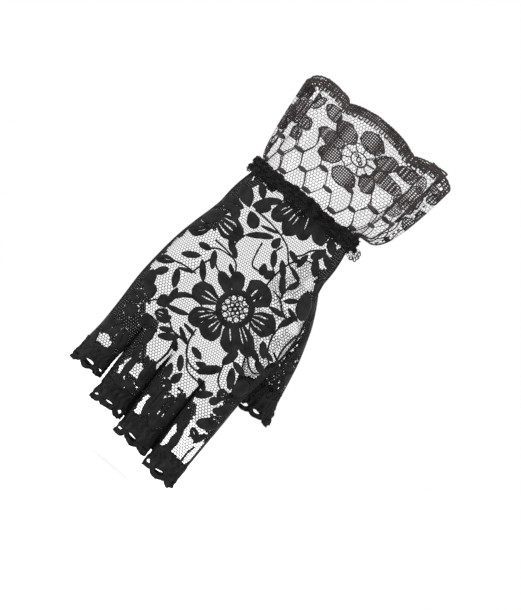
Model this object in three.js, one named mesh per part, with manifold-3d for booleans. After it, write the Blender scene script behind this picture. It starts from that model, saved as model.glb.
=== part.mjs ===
// Fingerless lace evening glove for a right hand, in the form it has when worn:
// a back and a palm panel with four short finger stalls, a thumb stall, a scalloped
// edging on each stall, a gathered wrist band and a fluted lace frill.
//
// Millimetres. +Z points up the forearm, the fingers point down, +X is the thumb side
// and -Y the back of the hand. The origin is the middle of the wrist seam.

import * as THREE from 'three';
import { mergeVertices } from 'three/addons/utils/BufferGeometryUtils.js';
import Module from 'manifold-3d';

// Driving dimensions
const HAND_WIDTH = 72; // across the knuckles, outside the lace
const HAND_DEPTH = 30; // back of the hand to palm at the knuckles
const PALM_LENGTH = 97; // wrist seam to the web between the fingers
const STALL_LENGTH = 32; // web to the end of the longest stall's panel
const STALL_DEPTH = 17; // back to front of the middle finger's stall
const FINGER_CURL = 4; // how far the longest stall's end leans towards the palm
const PUCKER = 0.7; // depth of the gathers below the wrist band
const CLOTH = 1.0; // wall of the stretch lace
const GAP = 0.3; // clearance between sewn pieces
const EDGING_HEIGHT = 8.5; // scalloped edging below a stall's end
const EDGING_CLOTH = 1.0; // wall of the edging
const EDGING_RUFFLE = 0.6; // how far the edging waves in and out
const SCALLOP_WIDTH = 8.8; // one scallop along the edging
const SCALLOP_RISE = 2.0; // from a scallop's tip to the notch beside it
const BAND_HEIGHT = 9; // gathered wrist band, top to bottom
const BAND_CLOTH = 1.3; // thickness of the band between its gathers
const BAND_GATHER = 1.2; // how far a gather stands out of the band
const GATHER_COUNT = 18; // gathers round the band
const THUMB_WIDTH = 20; // thumb stall at its end, outside
const FRILL_HEIGHT = 50; // wrist seam to the tip of a scallop
const FRILL_CLOTH = 1.0; // wall of the frill
const FRILL_FLARE = 12; // how far the frill stands off the forearm at its sides
const FRILL_FOLD = 4.5; // depth of its deepest flute
const FRILL_SCALLOPS = 6; // scallops round the frill's outer edge
const FRILL_OFFSET = 6; // the first scallop's centre, from the back's middle towards the thumb
const FRILL_SCALLOP_RISE = 5.4; // from a scallop's tip to the notch beside it

const BACK = -1; // the side of a section that faces -Y
const PALM = 1; // the side that faces +Y

// Hand sections from the wrist seam (along 0) to the web (along 1). The two outline
// columns are shares of HAND_WIDTH, the two depths are shares of HAND_DEPTH, and
// square is 1 for an oval section and less for a boxier one.
const HAND_SECTIONS = [
  { along: 0.0, little: 0.381, thumb: 0.381, back: 0.58, palm: 0.58, square: 1.0 },
  { along: 0.14, little: 0.404, thumb: 0.393, back: 0.54, palm: 0.57, square: 0.95 },
  { along: 0.26, little: 0.429, thumb: 0.409, back: 0.51, palm: 0.56, square: 0.88 },
  { along: 0.38, little: 0.469, thumb: 0.451, back: 0.48, palm: 0.54, square: 0.82 },
  { along: 0.49, little: 0.499, thumb: 0.489, back: 0.46, palm: 0.52, square: 0.78 },
  { along: 0.61, little: 0.517, thumb: 0.501, back: 0.45, palm: 0.5, square: 0.75 },
  { along: 0.73, little: 0.527, thumb: 0.491, back: 0.44, palm: 0.47, square: 0.75 },
  { along: 0.86, little: 0.524, thumb: 0.477, back: 0.4, palm: 0.42, square: 0.78 },
  { along: 1.0, little: 0.519, thumb: 0.465, back: 0.33, palm: 0.35, square: 0.85 },
];
const KNUCKLES = 0.72; // share of PALM_LENGTH where the panels begin to part into fingers
const WEBS = [-0.299, -0.054, 0.208]; // between the fingers, shares of HAND_WIDTH from the middle

// Finger stalls at their panel's end, from the little finger to the index finger.
// centre and width are shares of HAND_WIDTH, depth of STALL_DEPTH and length of
// STALL_LENGTH.
const STALLS = [
  { name: 'little', centre: -0.428, width: 0.208, depth: 0.86, length: 0.42, colour: 0x2a282b },
  { name: 'ring', centre: -0.175, width: 0.218, depth: 0.95, length: 0.7, colour: 0x232124 },
  { name: 'middle', centre: 0.081, width: 0.234, depth: 1.0, length: 0.87, colour: 0x2a282b },
  { name: 'index', centre: 0.346, width: 0.234, depth: 0.97, length: 1.0, colour: 0x232124 },
];

// Thumb stall sections from its root inside the hand to the end of its tube: across is
// a share of HAND_WIDTH, deep of HAND_DEPTH and along of PALM_LENGTH, all for its
// middle, and width and depth are shares of THUMB_WIDTH.
const THUMB_SECTIONS = [
  { across: 0.211, deep: 0.2, along: 0.2, width: 0.72, depth: 0.8 },
  { across: 0.271, deep: 0.29, along: 0.34, width: 1.2, depth: 1.3 },
  { across: 0.341, deep: 0.39, along: 0.48, width: 1.38, depth: 1.36 },
  { across: 0.423, deep: 0.5, along: 0.61, width: 1.24, depth: 1.2 },
  { across: 0.476, deep: 0.575, along: 0.72, width: 1.1, depth: 1.06 },
  { across: 0.519, deep: 0.63, along: 0.84, width: 1.0, depth: 1.0 },
];

// The frill round the forearm, from the middle of the back (0) to the middle of the
// palm side (1). At its outer edge flare is a share of FRILL_FLARE and fold a share of
// FRILL_FOLD, outward. spring is the power of the height at which it opens: 1 opens
// like a cone, and less springs out right above the band.
const FRILL_THUMB_SIDE = [
  { round: 0.0, flare: 0.12, fold: 0.0, spring: 1.0 },
  { round: 0.2, flare: 0.14, fold: 0.0, spring: 0.9 },
  { round: 0.31, flare: 0.5, fold: -0.5, spring: 0.5 },
  { round: 0.4, flare: 1.0, fold: 0.9, spring: 0.3 },
  { round: 0.47, flare: 1.3, fold: -0.75, spring: 0.25 },
  { round: 0.54, flare: 1.3, fold: 1.0, spring: 0.25 },
  { round: 0.61, flare: 1.05, fold: -0.8, spring: 0.35 },
  { round: 0.69, flare: 0.8, fold: 0.9, spring: 0.5 },
  { round: 0.78, flare: 0.7, fold: -0.8, spring: 0.6 },
  { round: 0.88, flare: 0.62, fold: 0.8, spring: 0.7 },
  { round: 1.0, flare: 0.6, fold: -0.7, spring: 0.7 },
];
const FRILL_LITTLE_SIDE = [
  { round: 0.0, flare: 0.12, fold: 0.0, spring: 1.0 },
  { round: 0.22, flare: 0.14, fold: 0.0, spring: 0.9 },
  { round: 0.34, flare: 0.26, fold: -0.45, spring: 0.7 },
  { round: 0.42, flare: 0.4, fold: 0.75, spring: 0.5 },
  { round: 0.49, flare: 0.4, fold: -0.7, spring: 0.45 },
  { round: 0.56, flare: 0.42, fold: 0.8, spring: 0.5 },
  { round: 0.64, flare: 0.46, fold: -0.75, spring: 0.6 },
  { round: 0.73, flare: 0.52, fold: 0.85, spring: 0.7 },
  { round: 0.82, flare: 0.56, fold: -0.8, spring: 0.7 },
  { round: 0.91, flare: 0.6, fold: 0.8, spring: 0.7 },
  { round: 1.0, flare: 0.6, fold: -0.7, spring: 0.7 },
];

// Mesh fineness
const COLUMNS_PER_STALL = 7;
const ROWS_TO_KNUCKLES = 6;
const ROWS_TO_WEB = 4;
const ROWS_PER_STALL = 3;
const THUMB_SIDES = 20;
const THUMB_ROWS = 8;
const COLUMNS_PER_SCALLOP = 8;
const COLUMNS_PER_GATHER = 4;
const FRILL_COLUMNS_PER_SCALLOP = 16;
const FRILL_ROWS = 5;

const wasm = await Module();
wasm.setup();

// Helpers for tables and outlines

const mix = (a, b, share) => a + (b - a) * share;

function smoothStep(from, to, x) {
  const t = THREE.MathUtils.clamp((x - from) / (to - from), 0, 1);
  return t * t * (3 - 2 * t);
}

// The value of one column at a place between a table's rows, on a smooth curve
// through the rows (Catmull-Rom slopes, so it bends evenly at each row).
function readTable(rows, place, column, at) {
  const last = rows.length - 1;
  const x = THREE.MathUtils.clamp(at, rows[0][place], rows[last][place]);
  let i = 0;
  while (i < last - 1 && x > rows[i + 1][place]) i++;
  const slope = (k) => {
    const a = rows[Math.max(k - 1, 0)];
    const b = rows[Math.min(k + 1, last)];
    return (b[column] - a[column]) / (b[place] - a[place]);
  };
  const span = rows[i + 1][place] - rows[i][place];
  const t = (x - rows[i][place]) / span;
  const [p0, p1] = [rows[i][column], rows[i + 1][column]];
  const [m0, m1] = [slope(i) * span, slope(i + 1) * span];
  return (
    (2 * t ** 3 - 3 * t ** 2 + 1) * p0 +
    (t ** 3 - 2 * t ** 2 + t) * m0 +
    (3 * t ** 2 - 2 * t ** 3) * p1 +
    (t ** 3 - t ** 2) * m1
  );
}

// Closed solids from sheets of quads

// A sheet is { points, quads, seams }, seen from outside with its quads anticlockwise.
// The wall goes inwards from the sheet along the average normals, and a rim closes
// every free edge, so the result is one closed body. At the points listed in seams,
// where the back meets the palm, the wall goes straight across to stay on its side.
function wallFrom(sheet, thickness) {
  const { points, quads, seams = [] } = sheet;
  const normals = points.map(() => new THREE.Vector3());
  for (const quad of quads) {
    const [a, b, c, d] = quad.map((k) => points[k]);
    const across = new THREE.Vector3().subVectors(c, a);
    const normal = across.cross(new THREE.Vector3().subVectors(d, b)).normalize();
    quad.forEach((k) => normals[k].add(normal));
  }
  seams.forEach((k) => normals[k].setY(0));
  const inner = points.map((p, k) => p.clone().addScaledVector(normals[k].normalize(), -thickness));
  const count = points.length;
  const faces = [];
  const edges = new Map();
  for (const [a, b, c, d] of quads) {
    faces.push([a, b, c], [a, c, d]);
    faces.push([a + count, c + count, b + count], [a + count, d + count, c + count]);
    for (const [from, to] of [[a, b], [b, c], [c, d], [d, a]]) {
      if (!edges.delete(to + ':' + from)) edges.set(from + ':' + to, [from, to]);
    }
  }
  for (const [from, to] of edges.values()) {
    faces.push([to, from, from + count], [to, from + count, to + count]);
  }
  return geometryOf([...points, ...inner], faces);
}

function geometryOf(points, faces) {
  const geometry = new THREE.BufferGeometry();
  geometry.setAttribute('position', new THREE.Float32BufferAttribute(points.flatMap((p) => [p.x, p.y, p.z]), 3));
  geometry.setIndex(faces.flat());
  return geometry;
}

// A closed solid through rings of points, capped at both ends. Each ring has its
// points in the same order, anticlockwise seen from the last ring back to the first.
function loftThrough(rings) {
  const sides = rings[0].length;
  const points = rings.flat();
  const faces = [];
  for (let r = 0; r < rings.length - 1; r++) {
    for (let k = 0; k < sides; k++) {
      const a = r * sides + k;
      const b = r * sides + ((k + 1) % sides);
      faces.push([a, b, b + sides], [a, b + sides, a + sides]);
    }
  }
  for (const [ring, order] of [[0, 1], [rings.length - 1, -1]]) {
    const middle = points.length;
    const centre = rings[ring].reduce((sum, p) => sum.add(p), new THREE.Vector3());
    points.push(centre.divideScalar(sides));
    for (let k = 0; k < sides; k++) {
      const a = ring * sides + k;
      const b = ring * sides + ((k + 1) % sides);
      faces.push(order > 0 ? [middle, b, a] : [middle, a, b]);
    }
  }
  return geometryOf(points, faces);
}

function solidOf(geometry) {
  const merged = mergeVertices(geometry, 1e-4);
  return new wasm.Manifold(
    new wasm.Mesh({
      numProp: 3,
      vertProperties: merged.attributes.position.array,
      triVerts: new Uint32Array(merged.index.array),
    }),
  );
}

function geometryFrom(solid) {
  const mesh = solid.getMesh();
  const geometry = new THREE.BufferGeometry();
  geometry.setAttribute('position', new THREE.BufferAttribute(new Float32Array(mesh.vertProperties), 3));
  geometry.setIndex(new THREE.BufferAttribute(new Uint32Array(mesh.triVerts), 1));
  return geometry;
}

// The body that is left of a cut piece: the largest of what the cut leaves, without
// the crumbs that a grazing cut makes.
function largestBody(solid) {
  return solid.decompose().reduce((best, body) => (body.volume() > best.volume() ? body : best));
}

// Form of the hand

const handHeight = (along) => -PALM_LENGTH * along;
const webDepth = CLOTH + GAP / 2; // the panels meet at this depth in the web

// The outline across the hand at a section: its middle and half its width.
function handSpan(along) {
  const little = readTable(HAND_SECTIONS, 'along', 'little', along) * HAND_WIDTH;
  const thumb = readTable(HAND_SECTIONS, 'along', 'thumb', along) * HAND_WIDTH;
  return { middle: (thumb - little) / 2, half: (thumb + little) / 2 };
}

// Where the webs lie across the panel, as an angle round the section from the
// little finger's seam (0) to the thumb-side seam (PI).
function webAngles() {
  const { middle, half } = handSpan(1);
  return [0, ...WEBS.map((x) => Math.acos((middle - x * HAND_WIDTH) / half)), Math.PI];
}
const ANGLES = webAngles();

// The four stalls at the web, side by side.
function stallAtWeb(k) {
  const { middle, half } = handSpan(1);
  const from = middle - half * Math.cos(ANGLES[k]);
  const to = middle - half * Math.cos(ANGLES[k + 1]);
  return { middle: (from + to) / 2, half: (to - from) / 2 };
}

const stallDepth = (k, side) =>
  mix(readTable(HAND_SECTIONS, 'along', side === BACK ? 'back' : 'palm', 1) * HAND_DEPTH, (STALLS[k].depth * STALL_DEPTH) / 2, 0.5);

// A point of the hand above the web. share runs across stall k from 0 to 1, grow
// widens the section all round, and side is BACK or PALM.
function handPoint(k, share, along, side, grow = 0) {
  const { middle, half } = handSpan(along);
  const angle = mix(ANGLES[k], ANGLES[k + 1], share);
  const depth = readTable(HAND_SECTIONS, 'along', side === BACK ? 'back' : 'palm', along) * HAND_DEPTH;
  const square = readTable(HAND_SECTIONS, 'along', 'square', along);
  const z = handHeight(along);
  const belowBand = THREE.MathUtils.clamp((-z - BAND_HEIGHT / 2) / (2 * BAND_HEIGHT), 0, 1);
  const pucker = PUCKER * Math.sin(Math.PI * belowBand) * Math.cos(angle * 6);
  const reach = 1 + (grow + pucker) / half;
  const x = middle - half * reach * Math.cos(angle);
  const y = (depth + grow + pucker) * Math.sin(angle) ** square;
  const parted = smoothStep(KNUCKLES, 1, along);
  const stall = stallAtWeb(k);
  const stallX = stall.middle - (stall.half + grow) * Math.cos(Math.PI * share);
  const stallY = mix(webDepth, stallDepth(k, side) + grow, Math.sin(Math.PI * share));
  return new THREE.Vector3(mix(x, stallX, parted), side * Math.max(mix(y, stallY, parted), GAP / 2), z);
}

// A point of stall k below the web, where down runs from 0 at the web to 1 at the end
// of the stall's panel and on along the edging.
function stallPoint(k, share, down, side, grow = 0) {
  const end = STALLS[k];
  const web = stallAtWeb(k);
  const ease = smoothStep(0, 1, down);
  const middle = mix(web.middle, end.centre * HAND_WIDTH, ease);
  const half = mix(web.half, (end.width * HAND_WIDTH) / 2, ease) + grow;
  const depth = mix(stallDepth(k, side), (end.depth * STALL_DEPTH) / 2, ease) + grow;
  const lift = GAP / 2;
  const curl = FINGER_CURL * end.length ** 2 * down ** 2;
  const x = middle - half * Math.cos(Math.PI * share);
  const y = side * mix(lift, depth, Math.sin(Math.PI * share) ** 0.9) + curl;
  return new THREE.Vector3(x, y, -PALM_LENGTH - end.length * STALL_LENGTH * down);
}

// Panels

// One panel as a sheet: a grid across the whole hand down to the web, and from there
// a strip for each stall, which shares the grid's last row with its neighbours.
function panelSheet(side) {
  const points = [];
  const quads = [];
  const seams = [];
  const columns = COLUMNS_PER_STALL * STALLS.length;
  const add = (p) => points.push(p) - 1;
  const join = (a, b, c, d) => quads.push(side === BACK ? [a, b, c, d] : [b, a, d, c]);
  const strip = (upper, lower) => {
    for (let j = 0; j < upper.length - 1; j++) join(lower[j], lower[j + 1], upper[j + 1], upper[j]);
  };
  const rowAt = (along) =>
    Array.from({ length: columns + 1 }, (_, j) => {
      const k = Math.min(Math.floor(j / COLUMNS_PER_STALL), STALLS.length - 1);
      return add(handPoint(k, j / COLUMNS_PER_STALL - k, along, side));
    });
  const alongs = [
    ...Array.from({ length: ROWS_TO_KNUCKLES }, (_, i) => (KNUCKLES * i) / ROWS_TO_KNUCKLES),
    ...Array.from({ length: ROWS_TO_WEB + 1 }, (_, i) => mix(KNUCKLES, 1, i / ROWS_TO_WEB)),
  ];
  const rows = alongs.map(rowAt);
  rows.forEach((row) => seams.push(row[0], row[columns]));
  for (let i = 0; i < rows.length - 1; i++) strip(rows[i], rows[i + 1]);
  STALLS.forEach((stall, k) => {
    const from = k * COLUMNS_PER_STALL;
    let upper = rows[rows.length - 1].slice(from, from + COLUMNS_PER_STALL + 1);
    for (let i = 1; i <= ROWS_PER_STALL; i++) {
      const lower = upper.map((_, j) => add(stallPoint(k, j / COLUMNS_PER_STALL, i / ROWS_PER_STALL, side)));
      strip(upper, lower);
      seams.push(lower[0], lower[COLUMNS_PER_STALL]);
      upper = lower;
    }
  });
  return { points, quads, seams };
}

// The whole hand down to the web as one block, larger than the panels by grow. The
// thumb stall is cut off where it enters this block.
function handBlock(grow) {
  const rings = [];
  const shares = Array.from({ length: COLUMNS_PER_STALL }, (_, j) => j / COLUMNS_PER_STALL);
  for (let i = 0; i <= ROWS_TO_KNUCKLES + ROWS_TO_WEB; i++) {
    const along = i / (ROWS_TO_KNUCKLES + ROWS_TO_WEB);
    const half = (side) => STALLS.flatMap((_, k) => shares.map((s) => handPoint(k, s, along, side, grow)));
    const end = (side) => handPoint(STALLS.length - 1, 1, along, side, grow);
    const palm = [...half(PALM), end(PALM)];
    const back = [...half(BACK), end(BACK)];
    rings.push([...palm, ...back.reverse()]);
  }
  return loftThrough(rings);
}

// Thumb stall

function thumbAxis(along) {
  return new THREE.Vector3(
    readTable(THUMB_SECTIONS, 'along', 'across', along) * HAND_WIDTH,
    readTable(THUMB_SECTIONS, 'along', 'deep', along) * HAND_DEPTH,
    handHeight(along),
  );
}

// The direction that the thumb stall takes at a section, down and away from the hand.
function thumbDirection(along) {
  const step = 0.02;
  return new THREE.Vector3().subVectors(thumbAxis(along + step), thumbAxis(along - step)).normalize();
}

// A ring round the thumb stall, square to its axis. shift moves it along the axis.
function thumbRing(along, grow, sides, shift = 0, wave = () => 0) {
  const direction = thumbDirection(Math.min(along, THUMB_END));
  const centre = thumbAxis(along).addScaledVector(direction, shift);
  const deep = new THREE.Vector3(0, 1, 0).addScaledVector(direction, -direction.y).normalize();
  const across = new THREE.Vector3().crossVectors(deep, direction);
  const width = (readTable(THUMB_SECTIONS, 'along', 'width', along) * THUMB_WIDTH) / 2 + grow;
  const depth = (readTable(THUMB_SECTIONS, 'along', 'depth', along) * THUMB_WIDTH) / 2 + grow;
  return Array.from({ length: sides }, (_, k) => {
    const angle = (2 * Math.PI * k) / sides;
    const out = wave(angle);
    return centre
      .clone()
      .addScaledVector(across, (width + out) * Math.cos(angle))
      .addScaledVector(deep, (depth + out) * Math.sin(angle));
  });
}

const THUMB_ROOT = THUMB_SECTIONS[0].along;
const THUMB_END = THUMB_SECTIONS[THUMB_SECTIONS.length - 1].along - 0.02;

function thumbBlock(grow, past = 0) {
  const rings = [];
  for (let i = 0; i <= THUMB_ROWS; i++) {
    rings.push(thumbRing(mix(THUMB_ROOT, THUMB_END, i / THUMB_ROWS), grow, THUMB_SIDES));
  }
  if (past) rings.push(thumbRing(THUMB_END, grow, THUMB_SIDES, past));
  return loftThrough(rings);
}

// Scalloped edgings

// How high the edge stands above a scallop's tip, at a place counted in scallops.
function scallopNotch(place, rise) {
  const across = 2 * (place - Math.floor(place)) - 1;
  return rise * (1 - Math.sqrt(Math.max(1 - (0.96 * across) ** 2, 0)));
}

// A ring of scallops hung below a stall's end, each with one eyelet cut through.
// pointAt(share, drop, out) is the stall's own form: share goes once round, drop is
// the distance below the stall's end, and out the distance outwards.
function edgingSheet(scallops, pointAt) {
  const columns = scallops * COLUMNS_PER_SCALLOP;
  const levels = [0, 0.5, 0.76, 1];
  const eyeletLevel = 1;
  const points = [];
  const quads = [];
  for (const level of levels) {
    for (let j = 0; j < columns; j++) {
      const place = j / COLUMNS_PER_SCALLOP;
      const drop = GAP + (EDGING_HEIGHT - GAP - scallopNotch(place, SCALLOP_RISE)) * level;
      const wave = EDGING_RUFFLE * smoothStep(0, 1, level) * Math.sin(2 * Math.PI * place * 1.5);
      points.push(pointAt(j / columns, drop, wave));
    }
  }
  for (let i = 0; i < levels.length - 1; i++) {
    for (let j = 0; j < columns; j++) {
      const fromNotch = j % COLUMNS_PER_SCALLOP;
      const inEyelet = fromNotch > 1 && fromNotch < COLUMNS_PER_SCALLOP - 2;
      if (i === eyeletLevel && inEyelet) continue;
      const next = (j + 1) % columns;
      quads.push([(i + 1) * columns + j, (i + 1) * columns + next, i * columns + next, i * columns + j]);
    }
  }
  return { points, quads };
}

const roundOval = (width, depth) => Math.PI * Math.hypot(width, depth) * Math.SQRT1_2;

// An even number keeps the waves of neighbouring scallops in step all round.
const scallopsFor = (round) => 2 * Math.round(round / SCALLOP_WIDTH / 2);

function stallEdging(k) {
  const stall = STALLS[k];
  const round = roundOval(stall.width * HAND_WIDTH, stall.depth * STALL_DEPTH);
  return edgingSheet(scallopsFor(round), (share, drop, out) => {
    const side = share < 0.5 ? BACK : PALM;
    const across = share < 0.5 ? 2 * share : 2 - 2 * share;
    const point = stallPoint(k, across, 1, side, out);
    const seam = stallPoint(k, across, 1, BACK, out).add(stallPoint(k, across, 1, PALM, out)).multiplyScalar(0.5);
    const onSeam = Math.abs(across * 2 - 1) > 0.999;
    return (onSeam ? seam : point).setZ(point.z - drop);
  });
}

function thumbEdging() {
  const end = THUMB_SECTIONS[THUMB_SECTIONS.length - 1];
  const scallops = scallopsFor(roundOval(end.width * THUMB_WIDTH, end.depth * THUMB_WIDTH));
  const columns = scallops * COLUMNS_PER_SCALLOP;
  return edgingSheet(scallops, (share, drop, out) => {
    const ring = thumbRing(THUMB_END, out, columns, drop);
    return ring[(columns - Math.round(share * columns)) % columns];
  });
}

// Wrist band and frill

// The wrist's oval section at a height, at a turn round from the middle of the back: 0
// is the back, 1 and -1 the palm side, and positive turns go by way of the thumb side.
// Above the seam the section stays the same.
function wristPoint(turn, grow, z = 0) {
  const along = Math.max(0, -z / PALM_LENGTH);
  const { middle, half } = handSpan(along);
  const [cross, down] = [Math.sin(Math.PI * turn), Math.cos(Math.PI * turn)];
  const depth = readTable(HAND_SECTIONS, 'along', down > 0 ? 'back' : 'palm', along) * HAND_DEPTH;
  const square = readTable(HAND_SECTIONS, 'along', 'square', along);
  const y = -Math.sign(down) * (depth + grow) * Math.abs(down) ** square;
  return new THREE.Vector3(middle + (half + grow) * cross, y, z);
}

function bandSheet() {
  const columns = GATHER_COUNT * COLUMNS_PER_GATHER;
  const levels = [
    { up: 0.5, out: 0.35 },
    { up: 0, out: 1 },
    { up: -0.5, out: 0.25 },
  ];
  const points = [];
  const quads = [];
  levels.forEach(({ up, out }) => {
    for (let j = 0; j < columns; j++) {
      const turn = (2 * j) / columns - 1;
      const gather = 0.5 + 0.5 * Math.cos(Math.PI * GATHER_COUNT * turn);
      const swell = 0.75 + 0.25 * Math.cos(Math.PI * 5 * turn);
      const thick = BAND_CLOTH + BAND_GATHER * gather * swell * out;
      points.push(wristPoint(turn, GAP + thick, BAND_HEIGHT * up));
    }
  });
  for (let i = 0; i < levels.length - 1; i++) {
    for (let j = 0; j < columns; j++) {
      const next = (j + 1) % columns;
      quads.push([(i + 1) * columns + j, (i + 1) * columns + next, i * columns + next, i * columns + j]);
    }
  }
  return { points, quads };
}

// The band is solid between its gathers and the wrist, so its inside is a plain oval.
function bandGeometry() {
  const { points, quads } = bandSheet();
  const columns = GATHER_COUNT * COLUMNS_PER_GATHER;
  const inner = points.map((p, k) => wristPoint((2 * (k % columns)) / columns - 1, GAP, p.z));
  const count = points.length;
  const faces = [];
  for (const [a, b, c, d] of quads) {
    faces.push([a, b, c], [a, c, d]);
    faces.push([a + count, c + count, b + count], [a + count, d + count, c + count]);
  }
  for (let j = 0; j < columns; j++) {
    const next = (j + 1) % columns;
    const foot = count - columns;
    faces.push([j, next, next + count], [j, next + count, j + count]);
    faces.push([foot + next, foot + j, foot + j + count], [foot + next, foot + j + count, foot + next + count]);
  }
  return geometryOf([...points, ...inner], faces);
}

// A point of the frill at a height above the seam, with turn as for wristPoint. It lies
// against the forearm over the back, and flares and flutes more and more above the band.
function frillPoint(turn, z) {
  const table = turn < 0 ? FRILL_LITTLE_SIDE : FRILL_THUMB_SIDE;
  const round = Math.abs(turn);
  const free = Math.max(0, (z - BAND_HEIGHT / 2) / (FRILL_HEIGHT - BAND_HEIGHT / 2));
  const open = free ** readTable(table, 'round', 'spring', round);
  const flare = readTable(table, 'round', 'flare', round) * FRILL_FLARE * open;
  const fold = readTable(table, 'round', 'fold', round) * FRILL_FOLD * open;
  const along = new THREE.Vector3().subVectors(wristPoint(turn + 0.01, 0), wristPoint(turn - 0.01, 0));
  const outward = new THREE.Vector3(-along.y, along.x, 0).negate().normalize();
  return wristPoint(turn, 0).addScaledVector(outward, flare + fold).setZ(z);
}

// Turns spaced so that each column takes the same length of lace at mid height.
function frillTurns() {
  const fine = 720;
  const samples = Array.from({ length: fine + 1 }, (_, i) => (2 * i) / fine - 1);
  const line = samples.map((turn) => frillPoint(turn, 0.75 * FRILL_HEIGHT));
  const run = [0];
  for (let i = 1; i <= fine; i++) run.push(run[i - 1] + line[i].distanceTo(line[i - 1]));
  const total = run[fine];
  const columns = FRILL_SCALLOPS * FRILL_COLUMNS_PER_SCALLOP;
  const middle = run[fine / 2];
  return Array.from({ length: columns }, (_, j) => {
    const wanted = (middle + FRILL_OFFSET + (total * j) / columns) % total;
    let i = 1;
    while (run[i] < wanted) i++;
    return mix(samples[i - 1], samples[i], (wanted - run[i - 1]) / (run[i] - run[i - 1]));
  });
}

function frillSheet() {
  const turns = frillTurns();
  const columns = turns.length;
  const points = [];
  const quads = [];
  for (let i = -1; i <= FRILL_ROWS; i++) {
    turns.forEach((turn, j) => {
      const place = j / FRILL_COLUMNS_PER_SCALLOP + 0.5;
      const height = FRILL_HEIGHT - scallopNotch(place, FRILL_SCALLOP_RISE);
      points.push(frillPoint(turn, i < 0 ? GAP : mix(BAND_HEIGHT / 2, height, (i / FRILL_ROWS) ** 1.4)));
    });
  }
  for (let i = 0; i <= FRILL_ROWS; i++) {
    for (let j = 0; j < columns; j++) {
      const next = (j + 1) % columns;
      quads.push([i * columns + j, i * columns + next, (i + 1) * columns + next, (i + 1) * columns + j]);
    }
  }
  return { points, quads };
}

// Pieces

const lace = (colour, roughness) => new THREE.MeshStandardMaterial({ color: colour, roughness, metalness: 0 });

function piece(name, geometry, material) {
  const mesh = new THREE.Mesh(geometry, material);
  mesh.name = name;
  return mesh;
}

const bodyLace = lace(0x1d1b1e, 0.75);
const frillLace = lace(0x2b2729, 0.6);
const bandLace = lace(0x171618, 0.8);

const thumbHole = solidOf(thumbBlock(GAP));
const cutByThumb = (geometry) => geometryFrom(largestBody(solidOf(geometry).subtract(thumbHole)));

// The thumb stall is a tube, open at its end and cut off where it meets the hand.
function thumbStall() {
  const tube = solidOf(thumbBlock(0)).subtract(solidOf(thumbBlock(-CLOTH, CLOTH)));
  return geometryFrom(largestBody(tube.subtract(solidOf(handBlock(GAP)))));
}

const glove = new THREE.Group();
glove.add(piece('back_panel', cutByThumb(wallFrom(panelSheet(BACK), CLOTH)), bodyLace));
glove.add(piece('palm_panel', cutByThumb(wallFrom(panelSheet(PALM), CLOTH)), bodyLace));
glove.add(piece('thumb_stall', thumbStall(), bodyLace));
STALLS.forEach((stall, k) => {
  glove.add(piece(stall.name + '_edging', wallFrom(stallEdging(k), EDGING_CLOTH), lace(stall.colour, 0.7)));
});
glove.add(piece('thumb_edging', wallFrom(thumbEdging(), EDGING_CLOTH), lace(0x232124, 0.7)));
glove.add(piece('wrist_band', bandGeometry(), bandLace));
glove.add(piece('wrist_frill', wallFrom(frillSheet(), FRILL_CLOTH), frillLace));

export default glove;
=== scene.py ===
# %% [markdown]
# # A fingerless lace evening glove
# The real glove is sewn from black stretch lace: a fine hexagonal net with flowers,
# leaves and stems woven into it. It has four short finger stalls and a thumb stall with
# scalloped edgings, a gathered wrist band and a frill of a coarser, scalloped lace.
# Here it keeps the form it has on a right hand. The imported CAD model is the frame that
# every piece is fitted to, so it is loaded first.

import bmesh
import bpy
import numpy as np
from mathutils import Matrix, Vector


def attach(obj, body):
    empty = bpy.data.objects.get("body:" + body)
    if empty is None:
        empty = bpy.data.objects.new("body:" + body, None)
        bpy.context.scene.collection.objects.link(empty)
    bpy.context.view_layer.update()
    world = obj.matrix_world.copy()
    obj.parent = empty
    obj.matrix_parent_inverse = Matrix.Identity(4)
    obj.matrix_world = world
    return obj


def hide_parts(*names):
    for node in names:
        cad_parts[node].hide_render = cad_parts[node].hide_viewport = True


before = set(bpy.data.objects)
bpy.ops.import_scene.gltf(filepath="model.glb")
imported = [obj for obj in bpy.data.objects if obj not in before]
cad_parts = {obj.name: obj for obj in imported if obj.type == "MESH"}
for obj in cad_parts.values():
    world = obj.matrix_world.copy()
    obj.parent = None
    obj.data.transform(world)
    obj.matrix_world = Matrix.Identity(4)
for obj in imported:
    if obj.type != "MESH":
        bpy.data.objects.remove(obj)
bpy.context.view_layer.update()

MM = 0.001

# %% [markdown]
# ## Camera, floor and light
# The photograph was taken square to the glove's back, with the frill at the upper right
# and the stalls at the lower left. So the camera looks level along +Y and is rolled about
# its own axis. A long lens from 1.2 m keeps the near and far sides of the glove almost
# the same size. The world is white and the floor pale, as in a studio.

# %% Camera
UP = Vector((-0.6308, 0.0, 0.7759))
FORWARD = Vector((0.0, 1.0, 0.0))
RIGHT = FORWARD.cross(UP)
LOOK_AT = Vector((0.01296, 0.0, -0.0477))
DISTANCE = 1.2
PICTURE_HEIGHT = 0.2745

camera = bpy.data.objects.new("camera", bpy.data.cameras.new("camera"))
camera.data.sensor_fit = "VERTICAL"
camera.data.sensor_height = 36.0
camera.data.lens = 36.0 * DISTANCE / PICTURE_HEIGHT
camera.data.clip_start = 0.01
turn_camera = Matrix((RIGHT, UP, -FORWARD)).transposed().to_4x4()
camera.matrix_world = Matrix.Translation(LOOK_AT - FORWARD * DISTANCE) @ turn_camera
bpy.context.scene.collection.objects.link(camera)
bpy.context.scene.camera = camera
print("lens", round(camera.data.lens, 1), "mm")

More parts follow.
